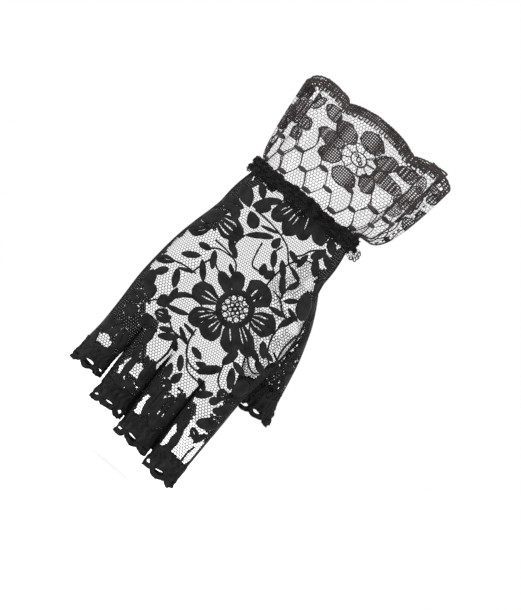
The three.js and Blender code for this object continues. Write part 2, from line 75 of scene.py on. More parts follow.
# %% Lights and world
world = bpy.data.worlds.new("studio")
world.use_nodes = True
world.node_tree.nodes["Background"].inputs["Color"].default_value = (1.0, 1.0, 1.0, 1.0)
world.node_tree.nodes["Background"].inputs["Strength"].default_value = 1.0
bpy.context.scene.world = world
bpy.context.scene.view_settings.view_transform = "Standard"


def softbox(name, place, size, watts):
    """A square area light at a place, turned to face the middle of the glove."""
    light = bpy.data.lights.new(name, "AREA")
    light.size = size
    light.energy = watts
    lamp = bpy.data.objects.new(name, light)
    lamp.location = place
    lamp.rotation_euler = (LOOK_AT - Vector(place)).to_track_quat("-Z", "Y").to_euler()
    bpy.context.scene.collection.objects.link(lamp)
    return lamp


softbox("key_light", (-0.7, -0.9, 0.9), 0.5, 22.0)
softbox("fill_light", (0.9, -0.7, 0.2), 0.7, 5.0)
softbox("back_light", (0.2, 0.9, 0.8), 0.6, 6.0)

# %% Floor
FLOOR_HEIGHT = -0.148

pale = bpy.data.materials.new("pale_floor")
pale.use_nodes = True
pale_shader = pale.node_tree.nodes["Principled BSDF"]
pale_shader.inputs["Base Color"].default_value = (0.94, 0.94, 0.94, 1.0)
pale_shader.inputs["Roughness"].default_value = 0.9
pale_shader.inputs["Specular IOR Level"].default_value = 0.0
floor_mesh = bpy.data.meshes.new("floor")
corners = [(-1.2, -0.8), (1.2, -0.8), (1.2, 0.8), (-1.2, 0.8)]
floor_mesh.from_pydata([(x, y, FLOOR_HEIGHT) for x, y in corners], [], [(0, 1, 2, 3)])
floor_mesh.materials.append(pale)
floor = bpy.data.objects.new("floor", floor_mesh)
bpy.context.scene.collection.objects.link(floor)
print("floor at", FLOOR_HEIGHT * 1000, "mm")

# %% [markdown]
# ## Materials
# All the threads are one black yarn, so the materials differ in how it is worked: fine
# twisted thread in the net, closely woven thread in the motifs, gathered cloth in the
# band. Material maths is written with a small class that wraps a socket, so that an
# expression such as `1 - weave * 0.5` adds its own Math nodes.


# %% Sockets that can be used in sums
class Socket:
    """A node output that can be used in sums: each operator adds one Math node."""

    def __init__(self, finish, output):
        self.finish = finish
        self.output = output

    def math(self, operation, *values):
        return self.finish.node("ShaderNodeMath", {"operation": operation}, values)

    def __add__(self, other):
        return self.math("ADD", self, other)

    __radd__ = __add__

    def __sub__(self, other):
        return self.math("SUBTRACT", self, other)

    def __rsub__(self, other):
        return self.math("SUBTRACT", other, self)

    def __mul__(self, other):
        return self.math("MULTIPLY", self, other)

    __rmul__ = __mul__

    def sine(self):
        return self.math("SINE", self)

    def size(self):
        return self.math("ABSOLUTE", self)

    def larger(self, other):
        return self.math("MAXIMUM", self, other)


# %% A material's nodes
FLAT_SPAN = 300.0  # millimetres of lace that the UV map's 0 to 1 covers
TURN = 2 * np.pi


class Finish:
    """A material, with one method that adds any node and one that makes its surface."""

    def __init__(self, name):
        self.material = bpy.data.materials.new(name)
        self.material.use_nodes = True
        self.tree = self.material.node_tree
        self.tree.nodes.clear()

    def node(self, kind, settings, values, wanted=0):
        """Adds a node: its settings first, then a value or a link for each socket."""
        made = self.tree.nodes.new(kind)
        for key, value in settings.items():
            setattr(made, key, value)
        pairs = values.items() if isinstance(values, dict) else enumerate(values)
        for key, value in pairs:
            if isinstance(value, Socket):
                self.tree.links.new(value.output, made.inputs[key])
            else:
                made.inputs[key].default_value = value
        return Socket(self, made.outputs[wanted]) if len(made.outputs) else None

    def flat(self, axis):
        """The lace's own coordinate, in millimetres, along (0) or down (1) the cloth."""
        uv = self.node("ShaderNodeUVMap", {"uv_map": "OFBake"}, {})
        parts = self.node("ShaderNodeSeparateXYZ", {}, {0: uv}, axis)
        return parts * FLAT_SPAN

    def noise(self, scale):
        """Soft random patches, 1 / scale metres across."""
        place = self.node("ShaderNodeTexCoord", {}, {}, "Object")
        values = {"Vector": place, "Scale": scale, "Detail": 3.0}
        return self.node("ShaderNodeTexNoise", {}, values)

    def between(self, share, dark, light):
        """A colour from dark to light as share goes from 0 to 1."""
        return self.node(
            "ShaderNodeMix",
            {"data_type": "RGBA"},
            {0: share, 6: (*dark, 1.0), 7: (*light, 1.0)},
            2,
        )

    def surface(self, colour, rough, height, depth):
        """Ends the material: height is a relief of the given depth in metres."""
        relief = {"Strength": 0.9, "Distance": depth, "Height": height}
        bump = self.node("ShaderNodeBump", {}, relief)
        shader = self.node(
            "ShaderNodeBsdfPrincipled",
            {},
            {
                "Base Color": colour,
                "Roughness": rough,
                "Normal": bump,
                "Sheen Weight": 0.02,
                "Sheen Roughness": 0.5,
                "Specular IOR Level": 0.04,
            },
        )
        self.node("ShaderNodeOutputMaterial", {}, {0: shader})
        return self.material


# %% Two ways of working the yarn
TWIST_PITCH = 0.23


def net_yarn(name, dark, light):
    """Twisted thread: fine slanting ridges along the yarn, with a painted highlight that makes
    each ridge a little lighter on top.
    """
    finish = Finish(name)
    turns = TURN / TWIST_PITCH
    twist = (finish.flat(0) * turns + finish.flat(1) * turns).sine()
    # The ridges also lighten the colour: a painted highlight on their tops.
    colour = finish.between(finish.noise(900.0) * 0.6 + twist * 0.2 + 0.2, dark, light)
    return finish.surface(colour, 0.62, twist, 0.00002)


def woven_yarn(name, dark, light, pitch):
    """Cloth stitch: threads of one pitch cross each other. The colour has painted highlights:
    lighter on the threads' crests and in soft random patches, where the cloth would catch the
    light. The same patches also raise the relief a little."""
    finish = Finish(name)
    along = (finish.flat(0) * (np.pi / pitch)).sine().size()
    down = (finish.flat(1) * (np.pi / pitch)).sine().size()
    weave = along.larger(down)
    sheen_patches = finish.noise(260.0)
    # Painted highlights: the threads' crests and the random patches are made lighter.
    colour = finish.between(weave * 0.5 + sheen_patches * 1.6 - 0.55, dark, light)
    rough = 0.68 - weave * 0.16
    return finish.surface(colour, rough, weave + sheen_patches * 0.3, 0.00014)


# %% The glove's five materials
BLACK = (0.001, 0.001, 0.0013)
NEAR_BLACK = (0.014, 0.013, 0.014)
NET = net_yarn("fine_net_yarn", BLACK, NEAR_BLACK)
WOVEN = woven_yarn("woven_motif_yarn", BLACK, NEAR_BLACK, 0.42)
FRILL_NET = net_yarn("frill_net_yarn", (0.012, 0.009, 0.01), (0.042, 0.034, 0.035))
FRILL_WOVEN = woven_yarn("frill_woven_yarn", (0.01, 0.008, 0.008), (0.042, 0.034, 0.035), 0.5)
GATHERED = woven_yarn("gathered_yarn", (0.0015, 0.0015, 0.0018), (0.012, 0.011, 0.012), 0.6)
print("materials:", ", ".join(m.name for m in (NET, WOVEN, FRILL_NET, FRILL_WOVEN, GATHERED)))

# %% [markdown]
# ## The glove's form
# Every piece of lace lies on one of a few surfaces, each a function of two parameters:
# the hand with its stalls, the thumb stall, the wrist and the frill. The tables below are
# the ones that the CAD model is built from, in shares of the named sizes, and a smooth
# curve through their rows gives the sections between.

# %% Sizes in millimetres
HAND_WIDTH = 72.0
HAND_DEPTH = 30.0
PALM_LENGTH = 97.0
STALL_LENGTH = 32.0
STALL_DEPTH = 17.0
FINGER_CURL = 4.0
PUCKER = 0.7
CLOTH = 1.0
GAP = 0.3
EDGING_HEIGHT = 8.5
BAND_HEIGHT = 9.0
THUMB_WIDTH = 20.0
FRILL_HEIGHT = 50.0
FRILL_FLARE = 12.0
FRILL_FOLD = 4.5
FRILL_SCALLOPS = 6
FRILL_OFFSET = 6.0
FRILL_SCALLOP_RISE = 5.4
KNUCKLES = 0.72
WEBS = np.array([-0.299, -0.054, 0.208])


# %% Tables of sections
def columns(names, *rows):
    """A table as a dictionary of arrays, one for each named column."""
    return dict(zip(names.split(), np.array(rows, float).T))


HAND = columns(
    "along little thumb back palm square",
    (0.00, 0.381, 0.381, 0.58, 0.58, 1.00),
    (0.14, 0.404, 0.393, 0.54, 0.57, 0.95),
    (0.26, 0.429, 0.409, 0.51, 0.56, 0.88),
    (0.38, 0.469, 0.451, 0.48, 0.54, 0.82),
    (0.49, 0.499, 0.489, 0.46, 0.52, 0.78),
    (0.61, 0.517, 0.501, 0.45, 0.50, 0.75),
    (0.73, 0.527, 0.491, 0.44, 0.47, 0.75),
    (0.86, 0.524, 0.477, 0.40, 0.42, 0.78),
    (1.00, 0.519, 0.465, 0.33, 0.35, 0.85),
)
STALLS = columns(
    "centre width depth length",
    (-0.428, 0.208, 0.86, 0.42),
    (-0.175, 0.218, 0.95, 0.70),
    (0.081, 0.234, 1.00, 0.87),
    (0.346, 0.234, 0.97, 1.00),
)
THUMB = columns(
    "across deep along width depth",
    (0.211, 0.200, 0.20, 0.72, 0.80),
    (0.271, 0.290, 0.34, 1.20, 1.30),
    (0.341, 0.390, 0.48, 1.38, 1.36),
    (0.423, 0.500, 0.61, 1.24, 1.20),
    (0.476, 0.575, 0.72, 1.10, 1.06),
    (0.519, 0.630, 0.84, 1.00, 1.00),
)
FRILL_THUMB_SIDE = columns(
    "round flare fold spring",
    (0.00, 0.12, 0.0, 1.0),
    (0.20, 0.14, 0.0, 0.9),
    (0.31, 0.50, -0.5, 0.5),
    (0.40, 1.00, 0.9, 0.3),
    (0.47, 1.30, -0.75, 0.25),
    (0.54, 1.30, 1.0, 0.25),
    (0.61, 1.05, -0.8, 0.35),
    (0.69, 0.80, 0.9, 0.5),
    (0.78, 0.70, -0.8, 0.6),
    (0.88, 0.62, 0.8, 0.7),
    (1.00, 0.60, -0.7, 0.7),
)
FRILL_LITTLE_SIDE = columns(
    "round flare fold spring",
    (0.00, 0.12, 0.0, 1.0),
    (0.22, 0.14, 0.0, 0.9),
    (0.34, 0.26, -0.45, 0.7),
    (0.42, 0.40, 0.75, 0.5),
    (0.49, 0.40, -0.7, 0.45),
    (0.56, 0.42, 0.8, 0.5),
    (0.64, 0.46, -0.75, 0.6),
    (0.73, 0.52, 0.85, 0.7),
    (0.82, 0.56, -0.8, 0.7),
    (0.91, 0.60, 0.8, 0.7),
    (1.00, 0.60, -0.7, 0.7),
)


# %% Blending and reading
def mix(a, b, share):
    """From a to b in a straight line as share goes from 0 to 1."""
    return a + (b - a) * share


def smooth_step(low, high, x):
    """From 0 at low to 1 at high, level at both ends: three squares less two cubes."""
    t = np.clip((x - low) / (high - low), 0, 1)
    return t * t * (3 - 2 * t)


def read(table, place, column, at):
    """A column's value at a place between rows: a cubic through each pair of rows whose
    slope at a row is that of the line between the row's two neighbours."""
    x, y = table[place], table[column]
    rows = np.arange(len(x))
    before, after = np.maximum(rows - 1, 0), np.minimum(rows + 1, len(x) - 1)
    slope = (y[after] - y[before]) / (x[after] - x[before])
    at = np.clip(at, x[0], x[-1])
    i = np.clip(np.searchsorted(x, at) - 1, 0, len(x) - 2)
    span = x[i + 1] - x[i]
    t = (at - x[i]) / span
    return (
        (2 * t**3 - 3 * t**2 + 1) * y[i]
        + (t**3 - 2 * t**2 + t) * slope[i] * span
        + (3 * t**2 - 2 * t**3) * y[i + 1]
        + (t**3 - t**2) * slope[i + 1] * span
    )


def halve(low, high, beyond, rounds):
    """Narrows an interval, by halving it, round the place where beyond turns true."""
    for _ in range(rounds):
        half_way = (low + high) / 2
        past = beyond(half_way)
        high = np.where(past, half_way, high)
        low = np.where(past, low, half_way)
    return low, high


# %% The hand and its finger stalls
BACK, PALM = -1, 1


def hand_span(along):
    """The middle and the half width of the hand's section at a share of its length."""
    little = read(HAND, "along", "little", along) * HAND_WIDTH
    thumb = read(HAND, "along", "thumb", along) * HAND_WIDTH
    return (thumb - little) / 2, (thumb + little) / 2


WEB_MIDDLE, WEB_HALF = hand_span(1.0)
ANGLES = np.concatenate([[0], np.arccos((WEB_MIDDLE - WEBS * HAND_WIDTH) / WEB_HALF), [np.pi]])
WEB_EDGES = WEB_MIDDLE - WEB_HALF * np.cos(ANGLES)


def web_depth(k, side):
    """A stall's depth at the web: half way between the hand's and the stall's own."""
    column = "back" if side == BACK else "palm"
    hand_depth = read(HAND, "along", column, 1.0) * HAND_DEPTH
    return mix(hand_depth, STALLS["depth"][k] * STALL_DEPTH / 2, 0.5)


def hand(c, z, side, k=None):
    """A point of the back or the palm. c counts stalls across the hand from the little
    finger's seam (0) to the thumb side (4), and z is the height, below 0. Above the web a
    section is half an oval, which parts into four humps towards the web. Below it each
    stall is a tube of its own that leans towards the palm."""
    k = np.clip(np.floor(c), 0, 3).astype(int) if k is None else k
    share = np.clip(c - k, 0, 1)
    along = np.clip(-z / PALM_LENGTH, 0, 1)
    middle, half = hand_span(along)
    angle = mix(ANGLES[k], ANGLES[k + 1], share)
    column = "back" if side == BACK else "palm"
    depth = read(HAND, "along", column, along) * HAND_DEPTH
    square = read(HAND, "along", "square", along)
    below = np.clip((-z - BAND_HEIGHT / 2) / (2 * BAND_HEIGHT), 0, 1)
    pucker = PUCKER * np.sin(np.pi * below) * np.cos(angle * 6)
    x = middle - (half + pucker) * np.cos(angle)
    y = (depth + pucker) * np.maximum(np.sin(angle), 0) ** square
    parted = smooth_step(KNUCKLES, 1, along)
    web_x = (WEB_EDGES[k] + WEB_EDGES[k + 1]) / 2
    web_half = (WEB_EDGES[k + 1] - WEB_EDGES[k]) / 2
    dip = np.sin(np.pi * share)
    x = mix(x, web_x - web_half * np.cos(np.pi * share), parted)
    y = mix(y, mix(CLOTH + GAP / 2, web_depth(k, side), dip), parted)
    y = side * np.maximum(y, GAP / 2)

    down = np.clip((-PALM_LENGTH - z) / (STALLS["length"][k] * STALL_LENGTH), 0, 1)
    ease = smooth_step(0, 1, down)
    stall_x = mix(web_x, STALLS["centre"][k] * HAND_WIDTH, ease)
    stall_half = mix(web_half, STALLS["width"][k] * HAND_WIDTH / 2, ease)
    stall_depth = mix(web_depth(k, side), STALLS["depth"][k] * STALL_DEPTH / 2, ease)
    curl = FINGER_CURL * STALLS["length"][k] ** 2 * down**2
    x_low = stall_x - stall_half * np.cos(np.pi * share)
    y_low = side * mix(GAP / 2, stall_depth, np.maximum(dip, 0) ** 0.9) + curl
    low = z < -PALM_LENGTH
    return np.stack([np.where(low, x_low, x), np.where(low, y_low, y), z + 0 * x], -1)


def across_at(x, z, side=BACK):
    """The c whose point of the hand has this x at this height."""
    low, high = np.zeros_like(x), np.full_like(x, 4.0)
    low, high = halve(low, high, lambda c: hand(c, z, side)[..., 0] > x, 26)
    return (low + high) / 2


# %% The thumb stall
THUMB_ROOT, THUMB_END = 0.20, 0.82


def thumb_axis(along):
    """The middle of the thumb stall at a share of the palm's length."""
    x = read(THUMB, "along", "across", along) * HAND_WIDTH
    y = read(THUMB, "along", "deep", along) * HAND_DEPTH
    return np.stack([x, y, -PALM_LENGTH * along], -1)


def unit(v):
    """Vectors divided by their lengths."""
    return v / np.linalg.norm(v, axis=-1, keepdims=True)


def thumb_frame(at):
    """Three directions square to each other: along the thumb stall's axis, across it
    towards the hand, and deep, towards the palm side."""
    way = unit(thumb_axis(at + 0.02) - thumb_axis(at - 0.02))
    deep = np.zeros_like(way)
    deep[..., 1] = 1
    deep = unit(deep - way * way[..., 1:2])
    return way, np.cross(deep, way), deep


def thumb(angle, along):
    """A point of the thumb stall: an oval ring square to the stall's bent axis. The angle
    is 0 on the inner side and a quarter turn at the palm side. Past the end of the
    stall the ring moves straight on, for the edging."""
    at = np.minimum(along, THUMB_END)
    way, across, deep = thumb_frame(at)
    width = read(THUMB, "along", "width", at) * THUMB_WIDTH / 2
    depth = read(THUMB, "along", "depth", at) * THUMB_WIDTH / 2
    past = (along - at) * PALM_LENGTH
    return (
        thumb_axis(at)
        + way * past[..., None]
        + across * (width * np.cos(angle))[..., None]
        + deep * (depth * np.sin(angle))[..., None]
    )


def inside_hand(p):
    """True where a point lies between the back and the palm."""
    z = np.clip(p[..., 2], -PALM_LENGTH, 0)
    c = across_at(p[..., 0], z)
    edges = hand_span(-z / PALM_LENGTH)
    within = np.abs(p[..., 0] - edges[0]) < edges[1]
    back, palm = hand(c, z, BACK)[..., 1], hand(c, z, PALM)[..., 1]
    return within & (p[..., 1] > back) & (p[..., 1] < palm)


def inside_thumb(p, grow=0.0):
    """True where a point lies in the thumb stall, found from its nearest ring."""
    rings = np.linspace(THUMB_ROOT, THUMB_END, 60)
    centres = thumb_axis(rings)
    away = np.linalg.norm(p[:, None, :] - centres[None], axis=-1)
    near = away.argmin(1)
    at = rings[near]
    way, across, deep = thumb_frame(at)
    off = p - centres[near]
    width = read(THUMB, "along", "width", at) * THUMB_WIDTH / 2 + grow
    depth = read(THUMB, "along", "depth", at) * THUMB_WIDTH / 2 + grow
    ring = ((off * across).sum(1) / width) ** 2 + ((off * deep).sum(1) / depth) ** 2
    return (ring < 1) & (np.abs((off * way).sum(1)) < 3)


# %% The wrist and the frill
def wrist(turn, grow, z):
    """A point of the wrist's oval. turn is 0 at the middle of the back, 1 and -1 at the
    palm side, and positive by way of the thumb side."""
    along = np.maximum(0, -z / PALM_LENGTH)
    middle, half = hand_span(along)
    cross, down = np.sin(np.pi * turn), np.cos(np.pi * turn)
    back = read(HAND, "along", "back", along) * HAND_DEPTH
    palm = read(HAND, "along", "palm", along) * HAND_DEPTH
    square = read(HAND, "along", "square", along)
    depth = np.where(down > 0, back, palm) + grow
    y = -np.sign(down) * depth * np.abs(down) ** square
    return np.stack([middle + (half + grow) * cross, y, z + 0 * turn], -1)


def frill_at(turn, z, folds=1.0):
    """A point of the frill: the wrist's oval, moved outwards by a flare and by folds that
    both open with the height above the band. folds is the share of the folds' depth."""
    side = np.abs(turn)
    thumb_side = turn > 0

    def both(column):
        """A column's value from the table of the side that a place is on."""
        little = read(FRILL_LITTLE_SIDE, "round", column, side)
        return np.where(thumb_side, read(FRILL_THUMB_SIDE, "round", column, side), little)

    free = np.maximum(0, (z - BAND_HEIGHT / 2) / (FRILL_HEIGHT - BAND_HEIGHT / 2))
    opening = np.maximum(free, 1e-9) ** both("spring") * (free > 0)
    out = (both("flare") * FRILL_FLARE + both("fold") * FRILL_FOLD * folds) * opening
    step = wrist(turn + 0.01, 0, 0 * z) - wrist(turn - 0.01, 0, 0 * z)
    outward = unit(np.stack([step[..., 1], -step[..., 0], 0 * turn], -1))
    return wrist(turn, 0, 0 * z) + outward * out[..., None] + np.stack([0 * z, 0 * z, z], -1)


# %% The lace's length round the frill
FINE_TURNS = np.linspace(-1, 1, 1441)
mid_frill = frill_at(FINE_TURNS, np.full(1441, 0.75 * FRILL_HEIGHT))
steps = np.linalg.norm(np.diff(mid_frill, axis=0), axis=1)
frill_run = np.concatenate([[0], np.cumsum(steps)])
FRILL_LENGTH = frill_run[-1]
frill_run = frill_run - frill_run[720]
FRILL_START = frill_run[0]
FRILL_SCALLOP = FRILL_LENGTH / FRILL_SCALLOPS


def frill(w, z):
    """The frill again, with w the length of lace from the middle of the back."""
    w = (w - FRILL_START) % FRILL_LENGTH + FRILL_START
    return frill_at(np.interp(w, frill_run, FINE_TURNS), z)


def opposite(turn):
    """The turn across the wrist's oval, from the back to the palm side or the other way."""
    return np.where(turn > 0, 1 - turn, -1 - turn)


def straight_through(turn, z):
    """The place on the frill's other side that the camera sees in line with this one, as
    its turn and height. Folds are left out of it, so that it changes smoothly."""
    here = frill_at(turn, z, 0.0)
    there = frill_at(opposite(turn), z, 0.0)
    ratio = (DISTANCE / MM + there[..., 1]) / (DISTANCE / MM + here[..., 1])
    x = LOOK_AT.x / MM + (here[..., 0] - LOOK_AT.x / MM) * ratio
    height = LOOK_AT.z / MM + (z - LOOK_AT.z / MM) * ratio

    def place(half_way):
        return np.where(np.abs(turn) < 0.5, opposite(half_way), half_way)

    low, high = np.full(x.shape, -0.5), np.full(x.shape, 0.5)
    low, high = halve(low, high, lambda t: frill_at(place(t), height, 0.0)[..., 0] > x, 15)
    return place((low + high) / 2), height


print("frill lace", round(FRILL_LENGTH, 1), "mm long, scallop", round(FRILL_SCALLOP, 1))

# %% [markdown]
# ## Putting flat lace on a form
# Lace is drawn flat and then laid on a form, which takes flat coordinates and a height
# above the cloth. It moves each point out along the surface's normal, which comes from
# the surface's own slopes. Four shapes make all the lace: a net of cells, petals with
# slits, cords, and slabs of closed cloth. Each is worked out as whole arrays.


# %% Forms
class Form:
    """A surface for flat lace. place(u, v) turns lace coordinates, u along and v up, into
    the surface's own two, and at gives its points. face is 1 where the first runs towards
    the thumb on the back, and -1 where that turns it inwards."""

    def __init__(self, at, face=1, place=None):
        self.at, self.face = at, face
        self.place = place or (lambda u, v: (u, v))

    def points(self, u, v):
        """The surface itself, without a height above it."""
        return self.at(*self.place(u, v))

    def lay(self, u, v, out):
        """Points moved outwards by out along the normal, which is the cross product of a
        step down the surface and a step along it."""
        u, v, out = np.broadcast_arrays(u, v, out)
        a, b = self.place(u, v)
        step = 0.12
        along = self.at(a + step, b) - self.at(a - step, b)
        down = self.at(a, b - step) - self.at(a, b + step)
        normal = np.cross(down, along)
        length = np.linalg.norm(normal, axis=-1, keepdims=True)
        return self.at(a, b) + self.face * normal / np.maximum(length, 1e-9) * out[..., None]


STALL_LACE = 22.0  # millimetres of lace across one stall


def behind(c, z):
    """The place on the palm that the camera sees straight behind the back's (c, z), so
    that the two panels' patterns coincide. Both are scaled about the point that the camera
    looks at, by the ratio of the palm's distance to the back's. On the stalls a place
    stays on its own stall, and so the gaps between them stay open."""
    back, palm = hand(c, z, BACK), hand(c, z, PALM)
    away = DISTANCE / MM
    ratio = (away + palm[..., 1]) / (away + back[..., 1])
    middle_x, middle_z = LOOK_AT.x / MM, LOOK_AT.z / MM
    x = middle_x + (back[..., 0] - middle_x) * ratio
    z = middle_z + (z - middle_z) * ratio
    placed = across_at(x, z, PALM)
    stall = np.clip(np.floor(c), 0, 3)
    own = np.clip(placed, stall + 0.001, stall + 0.999)
    return np.where(z < -PALM_LENGTH - 1, own, placed), z


def on_panel(c, v, side):
    """Lace coordinates on a panel: the palm's are moved behind the back's."""
    c, z = (c, v + 0 * c) if side == BACK else behind(c, v + 0 * c)
    return c * STALL_LACE, z


def panel_at(side):
    """The hand's surface in lace coordinates."""
    return lambda u, v: hand(np.clip(u / STALL_LACE, 0, 4), v, side)


def hand_form(side):
    """The hand, with u counted across the stalls."""

    def place(u, v):
        return on_panel(np.clip(u / STALL_LACE, 0, 4), v, side)

    return Form(panel_at(side), -side, place)


def chart_form(side):
    """The hand, with u the place as it is seen from the front, for drawn motifs."""
    return Form(panel_at(side), -side, lambda u, v: on_panel(across_at(u, v), v, side))


# %% Pieces made from arrays
class Cloth:
    """Gathers points, faces, flat coordinates and materials until a piece is made."""

    def __init__(self):
        self.points, self.flat, self.quads, self.slots = [], [], [], []
        self.count = 0

    def add(self, points, flat, quads, slot):
        """Adds one mesh: its faces' numbers are moved on past the points so far."""
        points = points.reshape(-1, 3)
        self.points.append(points)
        self.flat.append(np.stack([np.broadcast_to(f, points.shape[0]) for f in flat], -1))
        self.quads.append(quads.reshape(-1, 4) + self.count)
        self.slots.append(np.full(len(self.quads[-1]), slot))
        self.count += len(points)

    def piece(self, name, *materials):
        """One mesh object at the origin, its closed parts turned to face outwards."""
        points, flat = np.concatenate(self.points) * MM, np.concatenate(self.flat)
        quads, slots = np.concatenate(self.quads), np.concatenate(self.slots)
        mesh = bpy.data.meshes.new(name)
        mesh.vertices.add(len(points))
        mesh.vertices.foreach_set("co", points.ravel())
        mesh.loops.add(quads.size)
        mesh.loops.foreach_set("vertex_index", quads.ravel())
        mesh.polygons.add(len(quads))
        mesh.polygons.foreach_set("loop_start", np.arange(0, quads.size, 4))
        mesh.polygons.foreach_set("loop_total", np.full(len(quads), 4))
        mesh.polygons.foreach_set("material_index", slots)
        mesh.update(calc_edges=True)
        uv = (flat / FLAT_SPAN + 0.5) % 1.0
        layer = mesh.uv_layers.new(name="OFBake")
        layer.data.foreach_set("uv", uv[quads.ravel()].ravel())
        shape = bmesh.new()
        shape.from_mesh(mesh)
        bmesh.ops.recalc_face_normals(shape, faces=shape.faces)
        shape.to_mesh(mesh)
        shape.free()
        for material in materials:
            mesh.materials.append(material)
        piece = bpy.data.objects.new(name, mesh)
        bpy.context.scene.collection.objects.link(piece)
        print(name, len(points), "points,", 2 * len(quads), "triangles")
        return piece


# %% Slabs: closed cloth between an outer and an inner sheet
def slab_faces(sheets, rows, across):
    """Faces of closed slabs, each a grid of rows by across with an inner copy after it."""
    cell = np.arange(rows * across).reshape(rows, across)
    inner = cell + rows * across
    outer_faces = np.stack([cell[:-1, :-1], cell[1:, :-1], cell[1:, 1:], cell[:-1, 1:]], -1)
    inner_faces = np.stack([inner[:-1, :-1], inner[:-1, 1:], inner[1:, 1:], inner[1:, :-1]], -1)
    edge = np.concatenate([cell[:-1, 0], cell[-1, :-1], cell[:0:-1, -1], cell[0, :0:-1]])
    turn = np.roll(edge, -1)
    rim = np.stack([edge, turn, turn + rows * across, edge + rows * across], -1)
    one = np.concatenate([outer_faces.reshape(-1, 4), inner_faces.reshape(-1, 4), rim])
    return (one[None] + (np.arange(sheets) * 2 * rows * across)[:, None, None]).reshape(-1, 4)


def add_slabs(cloth, form, u, v, top, bottom, slot):
    """u and v hold sheets by rows by across. top and bottom are heights over the form."""
    outer = form.lay(u, v, top)
    inner = form.lay(u, v, bottom)
    points = np.stack([outer, inner], 1)
    flat = [np.stack([f, f], 1).ravel() for f in np.broadcast_arrays(u, v)]
    cloth.add(points, flat, slab_faces(u.shape[0], u.shape[1], u.shape[2]), slot)


# %% Petals and leaves
def petal_frame(petals):
    """Start, direction along, direction across and length of each petal."""
    start, end = petals[:, 0:2], petals[:, 2:4]
    way = end - start
    length = np.linalg.norm(way, axis=1)
    way = way / length[:, None]
    return start, way, np.stack([-way[:, 1], way[:, 0]], -1), length


def petal_half(t, width, fullest):
    """Half the width of a petal at t along it: a sine bent so that it is widest at
    fullest, with rounded ends, and a slight waver as threads turn back at its edge."""
    power = np.log(0.5) / np.log(fullest)
    oval = np.maximum(np.sin(np.pi * np.clip(t, 0, 1) ** power), 0) ** 0.52
    return width / 2 * oval * (1 + 0.05 * np.sin(17 * t + 3 * width))


SLIT_MIDDLE, SLIT_REACH = 0.38, 0.22


def slit_half(t, width):
    """Half the opening of a slit, as a share of the petal's half width."""
    return width * np.maximum(1 - ((t - SLIT_MIDDLE) / SLIT_REACH) ** 2, 0) ** 0.35


def add_petals(cloth, form, petals, slot, rise=0.45, sink=-0.25):
    """petals holds x, z of the foot, x, z of the tip, width, bend, slits and fullest.
    Each is cut into strips by its slits, and its edges are raised as a cord would be."""
    t = np.linspace(0.012, 0.988, 12)[None, :, None]
    for slits in np.unique(petals[:, 6]).astype(int):
        some = petals[petals[:, 6] == slits]
        start, way, side, length = petal_frame(some)
        width, bend, fullest = (some[:, i][:, None, None] for i in (4, 5, 7))
        half = petal_half(t, width, fullest)
        centres = (np.arange(slits) - (slits - 1) / 2) * 0.52
        opening = slit_half(t, 0.07)
        bounds = [-1 + 0 * t]
        for centre in centres:
            bounds += [centre - opening, centre + opening]
        bounds.append(1 + 0 * t)
        for low, high in zip(bounds[0::2], bounds[1::2]):
            s = np.array([0, 0.14, 0.5, 0.86, 1])[None, None, :]
            w = mix(low, high, s)
            off = half * w + bend * 4 * t * (1 - t)
            reach = t * length[:, None, None] + 0 * off
            u, v = (
                start[:, i, None, None]
                + way[:, i, None, None] * reach
                + side[:, i, None, None] * off
                for i in (0, 1)
            )
            ridge = np.array([-0.1, 1.0, 0.5, 1.0, -0.1])[None, None, :]
            add_slabs(cloth, form, u, v, rise * ridge + 0 * u, sink + 0 * u, slot)


def in_petals(u, v, petals, margin, slits=False):
    """True where a flat point lies in any petal, its edge drawn in by margin. With slits,
    the part of a petal that its slits cut doesn't count, so that net shows through them."""
    start, way, side, length = petal_frame(petals)
    hit = np.zeros(u.shape, bool)
    for i in range(len(petals)):
        a, b = u - start[i, 0], v - start[i, 1]
        t = (a * way[i, 0] + b * way[i, 1]) / length[i]
        off = a * side[i, 0] + b * side[i, 1] - petals[i, 5] * 4 * t * (1 - t)
        half = petal_half(t, petals[i, 4], petals[i, 7])
        here = (t > 0) & (t < 1) & (np.abs(off) < half - margin)
        if slits and petals[i, 6] > 0:
            here &= (np.abs(t - SLIT_MIDDLE) > SLIT_REACH) | (np.abs(off) > 0.66 * half)
        hit |= here
    return hit


# %% Cords
def add_cords(cloth, form, paths, width, rise, slot, sink=-0.2):
    """paths holds cords by points by (u, v). Each is a ridge with a flat underside."""
    way = unit(np.gradient(paths, axis=1) + 1e-12)
    side = np.stack([-way[..., 1], way[..., 0]], -1)[:, :, None, :]
    s = np.array([-1, 0, 1])[None, None, :, None]
    flat = paths[:, :, None, :] + side * s * width / 2
    ridge = np.array([0, 1, 0])[None, None, :]
    u, v = flat[..., 0], flat[..., 1]
    add_slabs(cloth, form, u, v, rise * ridge + 0 * u, sink + 0 * u, slot)


def smooth_path(points, count=18):
    """A curve of count points through a few, evenly spaced, by a cubic between each."""
    p = np.array(points, float)
    run = np.concatenate([[0], np.cumsum(np.linalg.norm(np.diff(p, axis=0), axis=1))])
    table = {"run": run, "u": p[:, 0], "v": p[:, 1]}
    at = np.linspace(0, run[-1], count)
    return np.stack([read(table, "run", "u", at), read(table, "run", "v", at)], -1)


# %% Net
LACE_LEVEL = -0.35  # the lace's height over the outside of the CAD wall
HEXAGON = np.array([(1, 1), (0, 2), (-1, 1), (-1, -1), (0, -2), (1, -1)])


